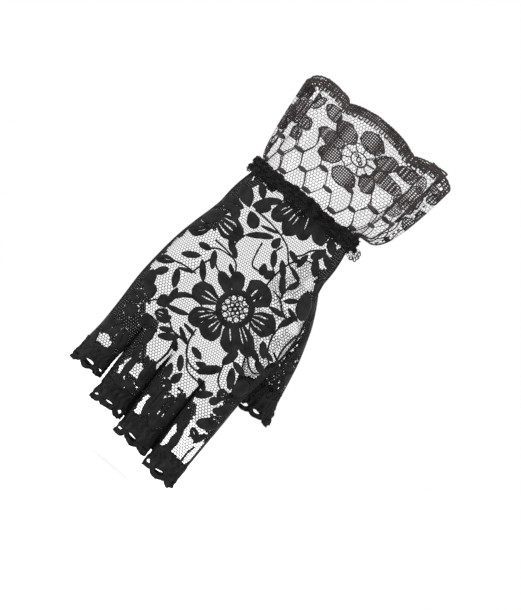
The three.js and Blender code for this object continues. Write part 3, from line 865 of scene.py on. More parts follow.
def net_cells(low, high, pitch, keep):
    """Hexagonal cells whose centres fill a box and for which keep is true. Centres lie in
    rows, every other row half a pitch along. Corners have whole-number keys, so that
    neighbours share them."""
    a = pitch / np.sqrt(3)
    rows = int((high[1] - low[1]) / (1.5 * a)) + 1
    across = int((high[0] - low[0]) / pitch) + 1
    j, i = np.meshgrid(np.arange(rows), np.arange(across), indexing="ij")
    i, j = i.ravel(), j.ravel()
    key = np.stack([2 * i + (j % 2), 3 * j], -1)
    centre = low + key * np.array([pitch / 2, a / 2])
    kept = keep(centre[:, 0], centre[:, 1])
    return centre[kept], (key[kept][:, None] + HEXAGON[None]), np.array([pitch / 2, a / 2])


def square_cells(low, high, pitch, keep):
    """Square cells in the same form, for closely woven cloth."""
    rows, across = (np.array(high) - low)[::-1] // pitch + 1
    j, i = np.meshgrid(np.arange(rows), np.arange(across), indexing="ij")
    key = np.stack([2 * i.ravel(), 2 * j.ravel()], -1).astype(int)
    centre = low + key * np.array([pitch / 2, pitch / 2])
    kept = keep(centre[:, 0], centre[:, 1])
    corners = np.array([(1, 1), (-1, 1), (-1, -1), (1, -1)])
    return centre[kept], key[kept][:, None] + corners[None], np.array([pitch / 2, pitch / 2])


def add_net(cloth, form, low, cells, thread, rise, slot, level=LACE_LEVEL):
    """A closed net. Each cell is a ring from its corners, which lie on the threads' middles
    and are raised above and below, to a smaller inner ring at the cloth's own height.
    thread is one width or one for each cell: wide threads make closely worked cloth."""
    centre, keys, unit_size = cells
    count, corners = keys.shape[:2]
    flat_keys = keys.reshape(-1, 2)
    found, index = np.unique(flat_keys, axis=0, return_inverse=True)
    index = index.reshape(count, corners)
    joints = low + found * unit_size
    reach = keys * unit_size + low - centre[:, None]
    apothem = np.abs(reach).max() * (np.sqrt(3) / 2 if corners == 6 else 1.0)
    hole = 1 - np.broadcast_to(thread, count) / 2 / apothem
    inner = centre[:, None] + reach * hole[:, None, None]
    inner = inner.reshape(-1, 2)
    top, bottom = index, index + len(joints)
    ring = np.arange(count * corners).reshape(count, corners) + 2 * len(joints)
    next_top, next_bottom, next_ring = (np.roll(x, -1, axis=1) for x in (top, bottom, ring))
    upper = np.stack([top, next_top, next_ring, ring], -1)
    lower = np.stack([bottom, ring, next_ring, next_bottom], -1)
    ends = np.stack([top, next_top], -1).reshape(-1, 2)
    names = np.sort(ends, axis=1)
    _, first, times = np.unique(names, axis=0, return_index=True, return_counts=True)
    start, end = ends[first[times == 1]].T
    wall = np.stack([end, start, start + len(joints), end + len(joints)], -1)
    flat = np.concatenate([joints, joints, inner])
    out = level + np.repeat([rise, -rise, 0.0], [len(joints), len(joints), len(inner)])
    points = form.lay(flat[:, 0], flat[:, 1], out)
    quads = np.concatenate([upper.reshape(-1, 4), lower.reshape(-1, 4), wall])
    cloth.add(points, [flat[:, 0], flat[:, 1]], quads, slot)


# %% [markdown]
# ## The body lace's chart
# A lace designer draws motifs on squared paper. Here a square is 0.45 mm, x runs towards
# the thumb and y down to the fingertips. Each row below is a petal or a leaf, from its
# foot to its tip, with its width, its sideways bend, how many slits open it and where it
# is fullest. Large petals round a ring of eyelets make the main flower on the back of the
# hand, with smaller flowers at the edges and leafy sprigs between them.

# %% The chart's squares and its petals
SQUARE = 0.45
CHART_X, CHART_Y = 366.7, 295.0


def to_hand(x, y):
    """Chart squares to millimetres on the hand, as seen from the front."""
    return (np.asarray(x) - CHART_X) * SQUARE, (CHART_Y - np.asarray(y)) * SQUARE


PETALS = """
383 409 391 382 31 0 2 .62
372 409 357 389 15 0 0 .62
367 415 343 400 12 1 0 .62
364 425 332 429 23 0 2 .64
368 433 349 458 21 0 3 .64
375 434 371 462 23 0 2 .66
381 432 404 457 21 0 1 .64
389 427 420 448 18 0 2 .6
392 417 423 412 25 0 3 .62
362 298 350 328 18 0 2 .62
370 297 370 333 20 0 3 .62
376 298 386 327 17 0 1 .62
382 300 406 318 15 0 0 .6
326 333 307 319 15 0 0 .6
322 337 300 343 15 0 1 .6
327 330 342 318 13 0 0 .6
329 335 344 346 13 0 0 .6
321 341 317 351 12 0 0 .6
308 360 340 362 23 0 3 .5
311 350 296 372 14 0 0 .6
309 372 292 388 15 0 2 .6
304 338 293 352 12 0 0 .6
330 367 345 379 7 1 0 .5
307 465 296 453 14 0 0 .6
314 465 322 453 14 0 0 .6
318 472 332 469 15 0 2 .6
313 478 321 492 14 0 0 .6
303 473 288 470 16 0 1 .6
304 479 294 492 14 0 0 .6
291 440 296 460 12 0 0 .5
302 421 285 431 9 1 1 .55
309 424 318 442 8 0 0 .5
302 430 293 443 8 0 0 .5
434 468 431 488 15 0 0 .5
429 491 417 497 13 0 2 .6
432 496 438 508 12 0 0 .6
425 499 416 508 9 0 0 .6
424 362 437 388 16 0 0 .55
430 340 436 362 14 0 0 .55
"""

# %% Leaves
LEAVES = """
365 335 346 340 4 0 0 .5
364 341 340 357 7 1 0 .45
369 337 369 350 9 0 0 .6
384 341 398 346 6 0 0 .5
372 350 382 365 7 0 0 .5
384 353 397 367 7 0 0 .5
394 364 406 380 7 0 0 .5
396 353 411 359 5 0 0 .5
401 333 400 350 6 0 0 .5
413 319 405 334 9 0 0 .5
409 330 420 346 8 0 0 .5
413 321 428 331 7 0 0 .5
373 366 378 378 9 0 0 .6
386 366 381 378 9 0 0 .6
337 372 348 381 6 0 0 .5
406 373 412 360 6 0 0 .5
411 384 423 374 6 0 0 .5
403 397 423 395 6 0 0 .5
431 387 423 407 7 0 0 .5
419 386 435 391 5 0 0 .5
309 392 323 389 7 0 0 .5
326 387 336 404 7 0 0 .5
346 388 358 395 5 1 0 .5
322 402 337 419 7 0 0 .5
319 400 302 411 7 0 0 .5
325 417 308 424 4 0 0 .5
321 457 343 436 6 -5.5 0 .5
322 460 347 453 6 1 0 .5
321 439 323 459 7 0 0 .5
334 465 329 476 9 0 0 .6
345 476 331 482 6 0 0 .5
347 468 363 478 5 0 0 .5
348 463 364 466 4 0 0 .5
335 489 353 478 8 0 0 .5
351 480 358 491 6 0 0 .5
369 476 384 480 7 0 0 .5
381 486 394 483 7 0 0 .6
388 493 406 474 9 0 0 .5
365 489 375 503 7 0 0 .5
394 496 406 503 6 0 0 .5
399 513 415 499 8 0 0 .5
363 501 367 517 9 0 0 .6
328 484 329 506 9 0 0 .5
378 502 375 517 9 0 0 .6
408 451 403 471 9 0 0 .5
413 467 425 486 9 0 0 .5
410 462 428 466 7 0 0 .5
413 440 430 446 7 0 0 .5
420 427 432 441 8 0 0 .5
427 447 442 453 8 0 0 .5
424 434 441 437 6 0 0 .5
344 320 333 332 7 0 0 .5
348 308 330 322 8 0 0 .5
320 306 331 318 8 0 0 .5
408 306 420 318 9 0 0 .5
"""

# %% Petals and leaves on the stalls
FINGER_PETALS = """
301 500 290 520 14 0 1 .5
306 503 313 526 12 0 1 .5
288 500 286 518 9 0 0 .5
286 522 286 546 9 0 0 .5
308 522 308 552 9 0 0 .5
289 537 310 539 12 0 1 .5
300 508 298 520 8 0 0 .5
333 514 332 546 8 0 0 .5
350 510 352 542 12 0 1 .5
337 542 354 549 10 0 0 .5
326 544 342 552 10 0 0 .5
328 506 331 524 7 0 0 .5
340 510 346 520 6 0 0 .5
374 522 373 562 12 0 1 .5
386 527 388 566 21 0 2 .5
393 516 397 540 8 0 0 .5
364 520 366 541 9 0 0 .5
368 516 380 524 7 0 0 .5
404 526 412 550 13 0 1 .5
413 544 415 577 9 0 0 .5
419 532 440 520 13 0 0 .5
419 538 432 546 9 0 1 .5
424 512 438 506 9 0 0 .5
436 536 430 550 5 0 0 .5
404 574 424 577 8 0 0 .5
"""

# %% Stems, each through two or more points
STEMS = [
    [(368, 335), (352, 332), (332, 331)],
    [(368, 335), (380, 340), (392, 352), (404, 357), (413, 361)],
    [(340, 357), (338, 370), (346, 380)],
    [(358, 352), (361, 368), (365, 376), (374, 376)],
    [(376, 342), (374, 352), (380, 362), (384, 367)],
    [(410, 359), (406, 375), (408, 387)],
    [(397, 382), (408, 385), (416, 392), (425, 396)],
    [(320, 379), (335, 380), (350, 384), (357, 393)],
    [(317, 393), (328, 384), (345, 382)],
    [(330, 392), (326, 404), (322, 420)],
    [(345, 402), (336, 398), (330, 390)],
    [(361, 460), (363, 475), (372, 488), (386, 492), (394, 487)],
    [(363, 475), (350, 478), (337, 487)],
    [(335, 470), (345, 476), (363, 476)],
    [(351, 482), (354, 495), (352, 512)],
    [(372, 488), (380, 497), (398, 500)],
    [(426, 398), (424, 415), (430, 432), (441, 443)],
    [(443, 402), (441, 420), (444, 437)],
    [(404, 470), (410, 486), (424, 494)],
    [(368, 335), (369, 320), (368, 306)],
    [(388, 345), (396, 338), (401, 328), (412, 318)],
    [(322, 459), (312, 462), (306, 470)],
    [(347, 437), (356, 440), (366, 436)],
    [(434, 552), (432, 562), (433, 575)],
    [(422, 548), (430, 540), (438, 534)],
    [(300, 421), (312, 418), (326, 417)],
]


# %% From the chart to the hand
def read_rows(text):
    """The numbers of a table, row by row."""
    return np.array([line.split() for line in text.split("\n") if line.strip()], float)


def on_hand(rows):
    """Rows of petals from chart squares to millimetres."""
    x0, z0 = to_hand(rows[:, 0], rows[:, 1])
    x1, z1 = to_hand(rows[:, 2], rows[:, 3])
    sizes = [rows[:, 4] * SQUARE, -rows[:, 5] * SQUARE, rows[:, 6], rows[:, 7]]
    return np.stack([x0, z0, x1, z1, *sizes], -1)


CHART = on_hand(np.concatenate([read_rows(rows) for rows in (PETALS, LEAVES, FINGER_PETALS)]))
STEM_PATHS = np.stack([smooth_path(stem) for stem in STEMS])
STEM_PATHS = np.stack(to_hand(STEM_PATHS[..., 0], STEM_PATHS[..., 1]), -1)
print(len(CHART), "petals and leaves,", len(STEM_PATHS), "stems")


# %% Rings of eyelets in the main flower
def circles(centres, radii, stretch=1.0, count=24):
    """Closed rings as cords."""
    a = np.linspace(0, TURN, count)
    ring = np.stack([np.cos(a), np.sin(a) * stretch], -1)
    return np.asarray(centres)[:, None, :] + np.asarray(radii)[:, None, None] * ring[None]


def eyelet_ring(middle, count, across, down, start):
    """Middles of a ring of eyelets in chart squares."""
    a = np.arange(count) / count * TURN + start
    return np.stack([middle[0] + across * np.cos(a), middle[1] + down * np.sin(a)], -1)


FLOWER_MIDDLE = (378.5, 420)
inner_eyelets = np.concatenate([[FLOWER_MIDDLE], eyelet_ring(FLOWER_MIDDLE, 6, 4.8, 5.0, 0.3)])
outer_eyelets = eyelet_ring(FLOWER_MIDDLE, 10, 10.4, 11.6, 0.1)
RINGS = np.concatenate(
    [
        circles(np.stack(to_hand(*inner_eyelets.T), -1), np.full(7, 2.1 * SQUARE), count=11),
        circles(np.stack(to_hand(*outer_eyelets.T), -1), np.full(10, 3.2 * SQUARE), count=11),
    ]
)
PETAL_FEET = circles([np.stack(to_hand(*FLOWER_MIDDLE))], [16.2 * SQUARE], 1.06, count=40)
print(len(RINGS), "eyelets in the main flower")

# %% [markdown]
# ## Back and palm
# The two panels are one pattern cut double, so the same chart is laid on both. The net
# fills what the petals leave open. It is stretched over the knuckles and drawn in at the
# wrist, because its cells are counted across the stalls, and not measured on the hand.
# Where two stalls part, and along the side seams, the lace is folded in and sewn, which
# shows as dark closely worked strips.

# %% Where the lace is closely worked
NET_PITCH = 1.3
NET_THREAD = 0.23
CLOSE_THREAD = 1.12

# The closely worked strips beside the side seams: rows down the chart, and widths in
# shares of a stall.
LITTLE_STRIP = (
    (300, 325, 345, 375, 388, 440, 460, 500, 510),
    (0.4, 0.6, 0.75, 0.7, 0.25, 0.25, 0.7, 0.7, 0.1),
)
THUMB_STRIP = (300, 365, 380, 439, 450, 520), (0.5, 0.45, 0.0, 0.0, 0.4, 0.36)

# Closely worked cloth starts at these rows down the chart, apart from windows of net,
# given as middle x and y and half width and height in squares.
CLOSE_ROWS = (
    (285, 322, 330, 334, 342, 350, 362, 370, 396, 404, 412, 419, 445),
    (474, 476, 480, 503, 514, 512, 509, 518, 517, 516, 521, 570, 572),
)
WINDOWS = """
297 527 10 6
301 509 3 5
296 549 7 5
341 529 6.5 7.5
328 534 3 12
352 514 5 4
367 553 4.5 13
382 521 7 5
386 548 5 3
406 560 4 14
421 528 8.5 9
431 556 12 18
412 512 14 6
"""


def closely_worked(c, z):
    """True where the lace is woven closely: on the stalls, beside the side seams and in
    the gathers under the wrist band."""
    x = hand(c, z, BACK)[:, 0]
    column, row = x / SQUARE + CHART_X, CHART_Y - z / SQUARE
    ragged = np.sin(column / 3.1) + 0.6 * np.sin(column / 1.7 + 1)
    close = row > np.interp(column, *CLOSE_ROWS) + 2.5 * ragged
    close |= row < 306 + 5 * np.sin(column / 6.3 + 1) + 4 * np.sin(column / 2.9)
    waver = 0.07 * np.sin(row / 4.1) + 0.05 * np.sin(row / 1.9)
    little_strip = np.interp(row, *LITTLE_STRIP)
    thumb_strip = np.interp(row, *THUMB_STRIP)
    close |= (c < little_strip + waver) | (4 - c < thumb_strip + waver * (thumb_strip > 0))
    for mid_x, mid_y, half_x, half_y in read_rows(WINDOWS):
        close &= ((column - mid_x) / half_x) ** 2 + ((row - mid_y) / half_y) ** 2 > 1
    return close


def thread_widths(form, cells, close, widest=CLOSE_THREAD):
    """Thread for each cell: wide where it is worked closely, and otherwise finer where
    the cloth turns away from the front, since cells look narrower there."""
    u, v = cells[0].T
    normal = form.lay(u, v, 1.0) - form.lay(u, v, 0.0)
    fine = NET_THREAD * (0.4 + 0.6 * np.abs(normal[:, 1]))
    return np.where(close, widest, fine)


def stall_end(k):
    """The height at which a stall ends and its edging begins."""
    return -PALM_LENGTH - STALLS["length"][k] * STALL_LENGTH


# %% Seams and the gaps between the stalls
STRIP_TOP = -PALM_LENGTH + 7
FULL_RUFFLE = 1.3  # share of half the gap that a ruffle fills
RUFFLE_SHARES = (0.85, 0.66), (FULL_RUFFLE, FULL_RUFFLE), (FULL_RUFFLE, FULL_RUFFLE)


def seam_strips(cloth, side, slot):
    """Closely worked strips beside the seams: narrow on the hand, wider on the stalls. The
    one by the thumb is drawn in where the net comes up to the seam."""
    form = hand_form(side)
    s = np.linspace(0, 1, 5)[None, None, :]
    for k in range(4):
        for edge in (0, 1):
            at_side = (k, edge) in ((0, 0), (3, 1))
            z = np.linspace(-0.5 if at_side else STRIP_TOP, stall_end(k), 60)[None, :, None]
            wide = 1.2 + 1.4 * smooth_step(-PALM_LENGTH + 12, -PALM_LENGTH - 2, z)
            if not at_side:
                wide = wide * smooth_step(STRIP_TOP, STRIP_TOP - 6, z) + 0.05
            if (k, edge) == (3, 1):
                row = CHART_Y - z / SQUARE
                drawn_in = smooth_step(376, 384, row) * smooth_step(448, 440, row)
                wide = wide * (1 - drawn_in) + 0.1
            inward = (0.02 + s * wide) * (1 if edge == 0 else -1)
            u = (k + edge) * STALL_LACE + inward
            top, bottom = LACE_LEVEL + 0.3 + 0 * u, LACE_LEVEL - 0.1 + 0 * u
            add_slabs(cloth, form, u, z + 0 * u, top, bottom, slot)


def side_seams(cloth, slot):
    """A rolled seam down each side, where the back and the palm meet: a cord whose middle
    stands out sideways from the gap between them."""
    for k, edge, way, count in ((0, 0.0, -1, 90), (3, 4.0, 1, 110)):
        heights = np.linspace(-0.6, stall_end(k) - 0.3, count)
        stall = np.full(heights.shape, k)
        back, palm = (hand(edge + 0 * heights, heights, side, stall) for side in (BACK, PALM))
        middle = (back + palm) / 2
        wide = 0.75 + 0.1 * np.sin(heights * 2.7)
        rows = []
        for across, out in ((-1, -0.25), (-0.5, 0.2), (0.5, 0.2), (1, -0.25)):
            rows.append(middle + np.stack([way * out + 0 * wide, across * wide, 0 * wide], -1))
        outer = np.stack(rows, 1)
        inner = outer.copy()
        inner[..., 0] -= way * 0.4
        flat = [np.stack([f, f]).ravel() for f in (outer[..., 1], outer[..., 2])]
        cloth.add(np.stack([outer, inner]), flat, slab_faces(1, len(heights), 4), slot)


def web_ruffles(cloth, slot):
    """Frayed seam edges that fill the gaps between stalls. Each starts on a stall's side
    and reaches half way across the gap or a little more, waving back and forth. In each
    gap, the one on the little finger's side goes on down to its stall's hem. The gap by
    the little finger stays partly open."""
    s = np.linspace(0, 1, 5)[None, :]
    for web, shares in enumerate(RUFFLE_SHARES):
        for k, way, filled in ((web, 1, shares[0]), (web + 1, -1, shares[1])):
            lowest = stall_end(k) - (EDGING_HEIGHT if way == 1 else 0.3)
            z = np.linspace(-PALM_LENGTH - 1, lowest, 80)[:, None]
            lower = smooth_step(-PALM_LENGTH - 5, -PALM_LENGTH - 8, z)
            filled = mix(FULL_RUFFLE, filled, lower)
            edge = 1.0 if way == 1 else 0.0
            here = hand(k + edge + 0 * z, z, BACK, k + np.zeros(z.shape, int))
            other = k + way
            there = hand(other + 1 - edge + 0 * z, z, BACK, other + np.zeros(z.shape, int))
            gap = np.abs(there[..., 0] - here[..., 0]) / 2
            frayed = 0.86 + 0.14 * np.sin(z * 5.3 + k) * np.sin(z * 2.1)
            reach = np.clip(gap * filled * frayed, 0.05, 1.9) + 0.25
            wave = 0.7 * np.sin(z * 1.9 + way) + 0.35 * np.sin(z * 4.7 + k)
            x = here[..., 0] + way * (s * reach - 0.25)
            y = here[..., 1] + GAP / 2 + wave * s
            front, rear = (np.stack([x, y + d, z + 0 * x], -1) for d in (-0.16, 0.16))
            flat = [np.stack([f, f]).ravel() for f in (x, z + 0 * x)]
            cloth.add(np.stack([front, rear]), flat, slab_faces(1, 80, 5), slot)


# %% Taking a CAD node's place
def settle(piece, node):
    """The piece takes the place of its CAD node: it is attached to the root and the node is
    hidden. The piece takes the place of its CAD node, and is declared as a sheet whose flat
    area is what its threads cover, half of the area of all its faces, or the whole flat
    piece where they overlap so much that this is less. The areas of its faces are read into
    an array, which nothing uses."""
    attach(piece, "root")
    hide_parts(node)
    areas = np.empty(len(piece.data.polygons), np.float32)
    piece.data.polygons.foreach_get("area", areas)


# %% Both panels
UNDERSIDE = LACE_LEVEL - 0.15  # of the motifs, just under the net


def panel(name, node, side):
    """One side of the glove: net, then the chart's petals, stems and rings, but none of
    them where the thumb stall is let in."""
    cloth = Cloth()
    form = hand_form(side)
    chart = chart_form(side)

    def open_net(u, v):
        """True on the panel where no petal and no opening is."""
        c = u / STALL_LACE
        p = form.points(u, v)
        z = p[:, 2]
        k = np.clip(np.floor(c), 0, 3).astype(int)
        half = NET_PITCH * 0.6 / STALL_LACE
        parted = (z < -PALM_LENGTH + 1) & (np.abs(c - np.round(c)) < half)
        fine = (c > half) & (c < 4 - half) & (z > stall_end(k) + 0.2) & (z < -0.6) & ~parted
        x = hand(np.clip(c, 0, 4), v, BACK)[:, 0]
        clear = ~in_petals(x, v, CHART, 0.25, slits=True) & ~inside_thumb(p, -0.3)
        return fine & clear

    low = np.array([0.0, stall_end(3)])
    cells = net_cells(low, np.array([4 * STALL_LACE, -0.2]), NET_PITCH, open_net)
    close = closely_worked(cells[0][:, 0] / STALL_LACE, cells[0][:, 1])
    add_net(cloth, form, low, cells, thread_widths(form, cells, close), 0.11, 0)

    middle = (CHART[:, 0:2] + CHART[:, 2:4]) / 2
    kept = ~inside_thumb(chart.points(middle[:, 0], middle[:, 1]), -1.0)
    add_petals(cloth, chart, CHART[kept], 1, rise=0.2, sink=UNDERSIDE)
    kept = ~inside_thumb(chart.points(STEM_PATHS[:, 9, 0], STEM_PATHS[:, 9, 1]), -1.0)
    add_cords(cloth, chart, STEM_PATHS[kept], 0.75, 0.1, 1, UNDERSIDE)
    add_cords(cloth, chart, RINGS, 0.66, 0.1, 1, UNDERSIDE)
    add_cords(cloth, chart, PETAL_FEET, 2.7, 0.1, 1, UNDERSIDE)
    seam_strips(cloth, side, 1)
    if side == BACK:
        web_ruffles(cloth, 1)
        side_seams(cloth, 1)
    settle(cloth.piece(name, NET, WOVEN), node)


panel("back_lace", "back_panel", BACK)
panel("palm_lace", "palm_panel", PALM)

# %% [markdown]
# ## Thumb stall
# The thumb stall is a tube let into the palm, and its lace runs round the tube. Where it
# stands out past the hand it is closely worked, with a flower and leaves on both sides,
# small gaps and rows of eyelets. Behind the palm it is plain net.

# %% Thumb chart
THUMB_LACE = 66.0  # millimetres of lace round the tube
THUMB_TOP, THUMB_HEM = -THUMB_ROOT * PALM_LENGTH, -THUMB_END * PALM_LENGTH
thumb_form = Form(lambda u, v: thumb(u * TURN / THUMB_LACE, -v / PALM_LENGTH))

THUMB_ROWS = """
-2 -47 -8.5 -44 5.5 0 0 .6
-2 -48.5 -8 -53 5.5 0 1 .6
0 -50 -1 -57 6 0 1 .6
2 -48.5 7 -53.5 5.5 0 1 .6
2 -47 8 -43.5 5.5 0 0 .6
0 -45.5 1 -38.5 6 0 1 .6
11 -40 14 -31 4.5 0 0 .5
12 -42 17 -49 4.5 0 0 .5
-11 -38 -13 -30 4.5 0 0 .5
-12 -56 -15 -49 4 0 0 .5
10 -58 14 -52 4 0 0 .5
5 -61 11 -64 4 0 1 .5
3 -62 0 -69 5 0 1 .5
-1 -61 -7 -60 4 0 0 .5
-8 -63 -13 -68 4.5 0 0 .5
9 -66 14 -71 4.5 0 0 .5
-5 -66 -8 -72 4 0 0 .5
-3 -31 -7 -26 4 0 0 .5
4 -33 8 -27 4 0 0 .5
"""
THUMB_STEMS = [
    [(2, -27), (0, -33), (1, -39)],
    [(9, -42), (12, -44), (11, -52), (6, -60)],
    [(-9, -42), (-12, -46), (-11, -54), (-4, -61)],
    [(0, -58), (2, -61), (6, -66), (12, -68)],
    [(0, -58), (-3, -64), (-9, -67), (-14, -72)],
]

# Where the pattern's middle comes on the palm side and on the back side, and which way
# round it is there.
THUMB_SIDES = ((0.25 * THUMB_LACE, 1), (0.75 * THUMB_LACE, -1))


def shifted(rows, u, flip):
    """Petal rows moved along u, and turned about their middle line if flip is -1."""
    moved = rows.copy()
    moved[:, 0], moved[:, 2] = u + flip * rows[:, 0], u + flip * rows[:, 2]
    moved[:, 5] = flip * rows[:, 5]
    return moved


thumb_rows = read_rows(THUMB_ROWS)
THUMB_PETALS = np.concatenate([shifted(thumb_rows, u, flip) for u, flip in THUMB_SIDES])
thumb_stems = np.stack([smooth_path(stem) for stem in THUMB_STEMS])
THUMB_CORDS = np.concatenate([thumb_stems * (flip, 1) + (u, 0) for u, flip in THUMB_SIDES])
print(len(THUMB_PETALS), "petals and leaves round the thumb")

# %% Where the thumb's lace is closely worked
# A line down the chart, as its rows and the columns at them.
THUMB_LINE = (360, 382, 396, 405, 430, 440, 446, 500), (434, 440, 446, 449, 450, 448, 440, 440)


def in_chart(p):
    """The column and row of the chart at which points are seen."""
    return p[..., 0] / SQUARE + CHART_X, CHART_Y - p[..., 2] / SQUARE


def beyond_hand(p):
    """True where the thumb stall shows past the hand, as seen from the front: outside a
    line down the chart that leaves an open wedge of net at its middle."""
    column, row = in_chart(p)
    return column > np.interp(row, *THUMB_LINE) + 0.5 * np.sin(row / 2.3)


def speckled(p):
    """True in small gaps of the closely worked lace, which line up through the tube: a
    few scattered ones, and two rows of small eyelets above the hem."""
    column, row = in_chart(p)
    rows = (np.abs(row - 466) < 9) & (np.sin(column * 1.45 + 1) * np.sin(row * 0.78) > 0.2)
    return rows | (np.sin(column * 0.83 + row * 0.21) * np.sin(row * 0.47 + 1) > 0.6)


# %% Thumb piece
def thumb_net(u, v):
    """True on the tube outside the hand and outside the petals."""
    clear = ~in_petals(u, v, THUMB_PETALS, 0.25) & ~inside_hand(thumb_form.at(u, v))
    return clear & (v > THUMB_HEM + 0.3) & (u < THUMB_LACE - 0.5)


cloth = Cloth()
low = np.array([0.5, THUMB_HEM])
cells = net_cells(low, np.array([THUMB_LACE, THUMB_TOP]), NET_PITCH, thumb_net)
u, v = cells[0].T
place = thumb_form.at(u, v)
close = beyond_hand(place) & ~speckled(place)
add_net(cloth, thumb_form, low, cells, thread_widths(thumb_form, cells, close, 1.0), 0.11, 0)

middle = (THUMB_PETALS[:, 0:2] + THUMB_PETALS[:, 2:4]) / 2
place = thumb_form.at(middle[:, 0], middle[:, 1])
outside = ~inside_hand(place) & beyond_hand(place)
add_petals(cloth, thumb_form, THUMB_PETALS[outside], 1, rise=0.2, sink=UNDERSIDE)
place = thumb_form.at(THUMB_CORDS[:, 9, 0], THUMB_CORDS[:, 9, 1])
outside = ~inside_hand(place) & beyond_hand(place)
add_cords(cloth, thumb_form, THUMB_CORDS[outside], 0.8, 0.1, 1, UNDERSIDE)

# %% Seam where the thumb leaves the palm
angles = np.linspace(0, TURN, 121)
root, end = np.full(121, THUMB_ROOT), np.full(121, THUMB_END)
_, comes_out = halve(root, end, lambda along: ~inside_hand(thumb(angles, along)), 24)
seam = np.stack([angles / TURN * THUMB_LACE, -comes_out * PALM_LENGTH], -1)[None]
add_cords(cloth, thumb_form, seam, 0.7, 0.3, 1, -0.5)
hem_u = np.linspace(0, THUMB_LACE, 160)
hem = np.stack([hem_u, 0 * hem_u + THUMB_HEM + 0.35], -1)[None]
add_cords(cloth, thumb_form, hem, 0.8, 0.15, 1, -0.5)
side_v = np.linspace(THUMB_HEM, -40, 60)
add_cords(cloth, thumb_form, np.stack([0 * side_v + 0.3, side_v], -1)[None], 1.3, 0.2, 1, -0.5)
thumb_lace = cloth.piece("thumb_lace", NET, WOVEN)
settle(thumb_lace, "thumb_stall")

# %% [markdown]
# ## Scalloped edgings
# Each stall ends in a narrow ruffled edging with one oblong eyelet to a scallop. It is
# made as two strips, above and below the eyelets. Where there is no eyelet they meet.

# %% Rims that the edgings follow
SCALLOP_RISE = 2.0
SCALLOP_LACE = 8.8  # millimetres of lace gathered into one scallop
EDGING_LAP = 3.6  # how far the strip laps over its stall
EDGING_RUFFLE = 0.6
EYELET = (5.4, 1.8)
EYELET_DOWN = 5.45


def notch(place, rise):
    """How far a scalloped hem is drawn up at a place: a half oval for each scallop."""
    across = 2 * (place - np.floor(place)) - 1
    return rise * (1 - np.sqrt(np.maximum(1 - (0.96 * across) ** 2, 0)))


def stall_rim(k, scallops):
    """A stall's hem as a form: u in scallops round it from the little finger's side over
    the back, and v the drop below the stall's end, as a negative height."""
    half_width = STALLS["width"][k] * HAND_WIDTH / 2
    depth = STALLS["depth"][k] * STALL_DEPTH / 2
    curl = FINGER_CURL * STALLS["length"][k] ** 2
    middle = STALLS["centre"][k] * HAND_WIDTH

    def at(u, v):
        round_hem = (u / scallops) % 1.0
        angle = TURN * round_hem
        x = middle - half_width * np.cos(angle)
        y = curl - depth * np.sign(np.sin(angle)) * np.abs(np.sin(angle)) ** 0.9
        return np.stack([x, y, stall_end(k) + v], -1)

    return Form(at)


def thumb_rim(scallops):
    """The thumb stall's hem in the same way, from its inner side."""
    return Form(lambda u, v: thumb(TURN * (u / scallops), THUMB_END - v / PALM_LENGTH))


# %% One edging
def add_scallop_cord(cloth, form, u, hem, scallops, seed):
    """A fine cord along the scalloped hem, which follows the ruffle."""
    slow = 0.8 * np.sin(4 * TURN * u / scallops + seed)
    wave = EDGING_RUFFLE * (np.sin(TURN * u * 1.5) + slow) - 0.25
    s = np.linspace(-1, 1, 5)[None, :, None]
    drop = (hem - 0.35)[None, None, :] + s * 0.4
    ridge = np.cos(s * 1.3) * 0.3
    top, bottom = wave + ridge, wave - 0.3 + 0 * ridge
    add_slabs(cloth, form, u[None, None] + 0 * drop, -drop, top, bottom, 0)


def edging(name, node, form, seed, openings, slant=0.0):
    """Two ruffled strips. The ruffle waves in and out more towards the hem, and finer
    folds ride on it. The gathers draw the eyelets closed by different amounts, one for
    each scallop. A slanted edging is longer at its outer side."""
    scallops = len(openings)
    cloth = Cloth()
    u = np.linspace(0, scallops, scallops * 28 + 1)[None, None, :]
    across = (u - np.floor(u) - 0.5) * SCALLOP_LACE / (EYELET[0] / 2)
    hole = EYELET[1] / 2 * np.sqrt(np.maximum(1 - across**2, 0))
    hole = hole * np.array(openings)[np.floor(u).astype(int) % scallops]
    round_hem = TURN * u / scallops
    uneven = 0.55 * np.sin(2 * round_hem + seed) + 0.4 * np.sin(5 * round_hem + 2 * seed)
    uneven = uneven + slant * np.maximum(-np.cos(round_hem), 0) ** 2
    hem = EDGING_HEIGHT - notch(u, SCALLOP_RISE) + uneven
    ragged = 0.25 * np.sin(u * 23 + seed) * np.sin(u * 9.1)
    eyelet = EYELET_DOWN + 0.8 * uneven
    slow = 0.8 * np.sin(4 * round_hem + seed)
    strips = [(-EDGING_LAP + ragged, eyelet - hole, 14), (eyelet + hole, hem + ragged, 5)]
    for start, end, rows in strips:
        drop = mix(start, end, np.linspace(0, 1, rows)[None, :, None])
        level = smooth_step(0, 1, drop / EDGING_HEIGHT)
        wave = EDGING_RUFFLE * level * (np.sin(TURN * u * 1.5) + slow)
        folds = np.sin(u * 17 + 2.2 * np.sin(drop * 0.9 + seed) + 1.5 * np.sin(u * 3.1 + seed))
        fine = np.sin(u * 41 + drop * 2.0 + seed) * 0.1
        top = wave + folds * 0.4 + fine + 0.15
        add_slabs(cloth, form, u + 0 * drop, -drop, top, top - 0.35, 0)
    add_scallop_cord(cloth, form, u[0, 0], hem[0, 0], scallops, seed)
    settle(cloth.piece(name, WOVEN), node)


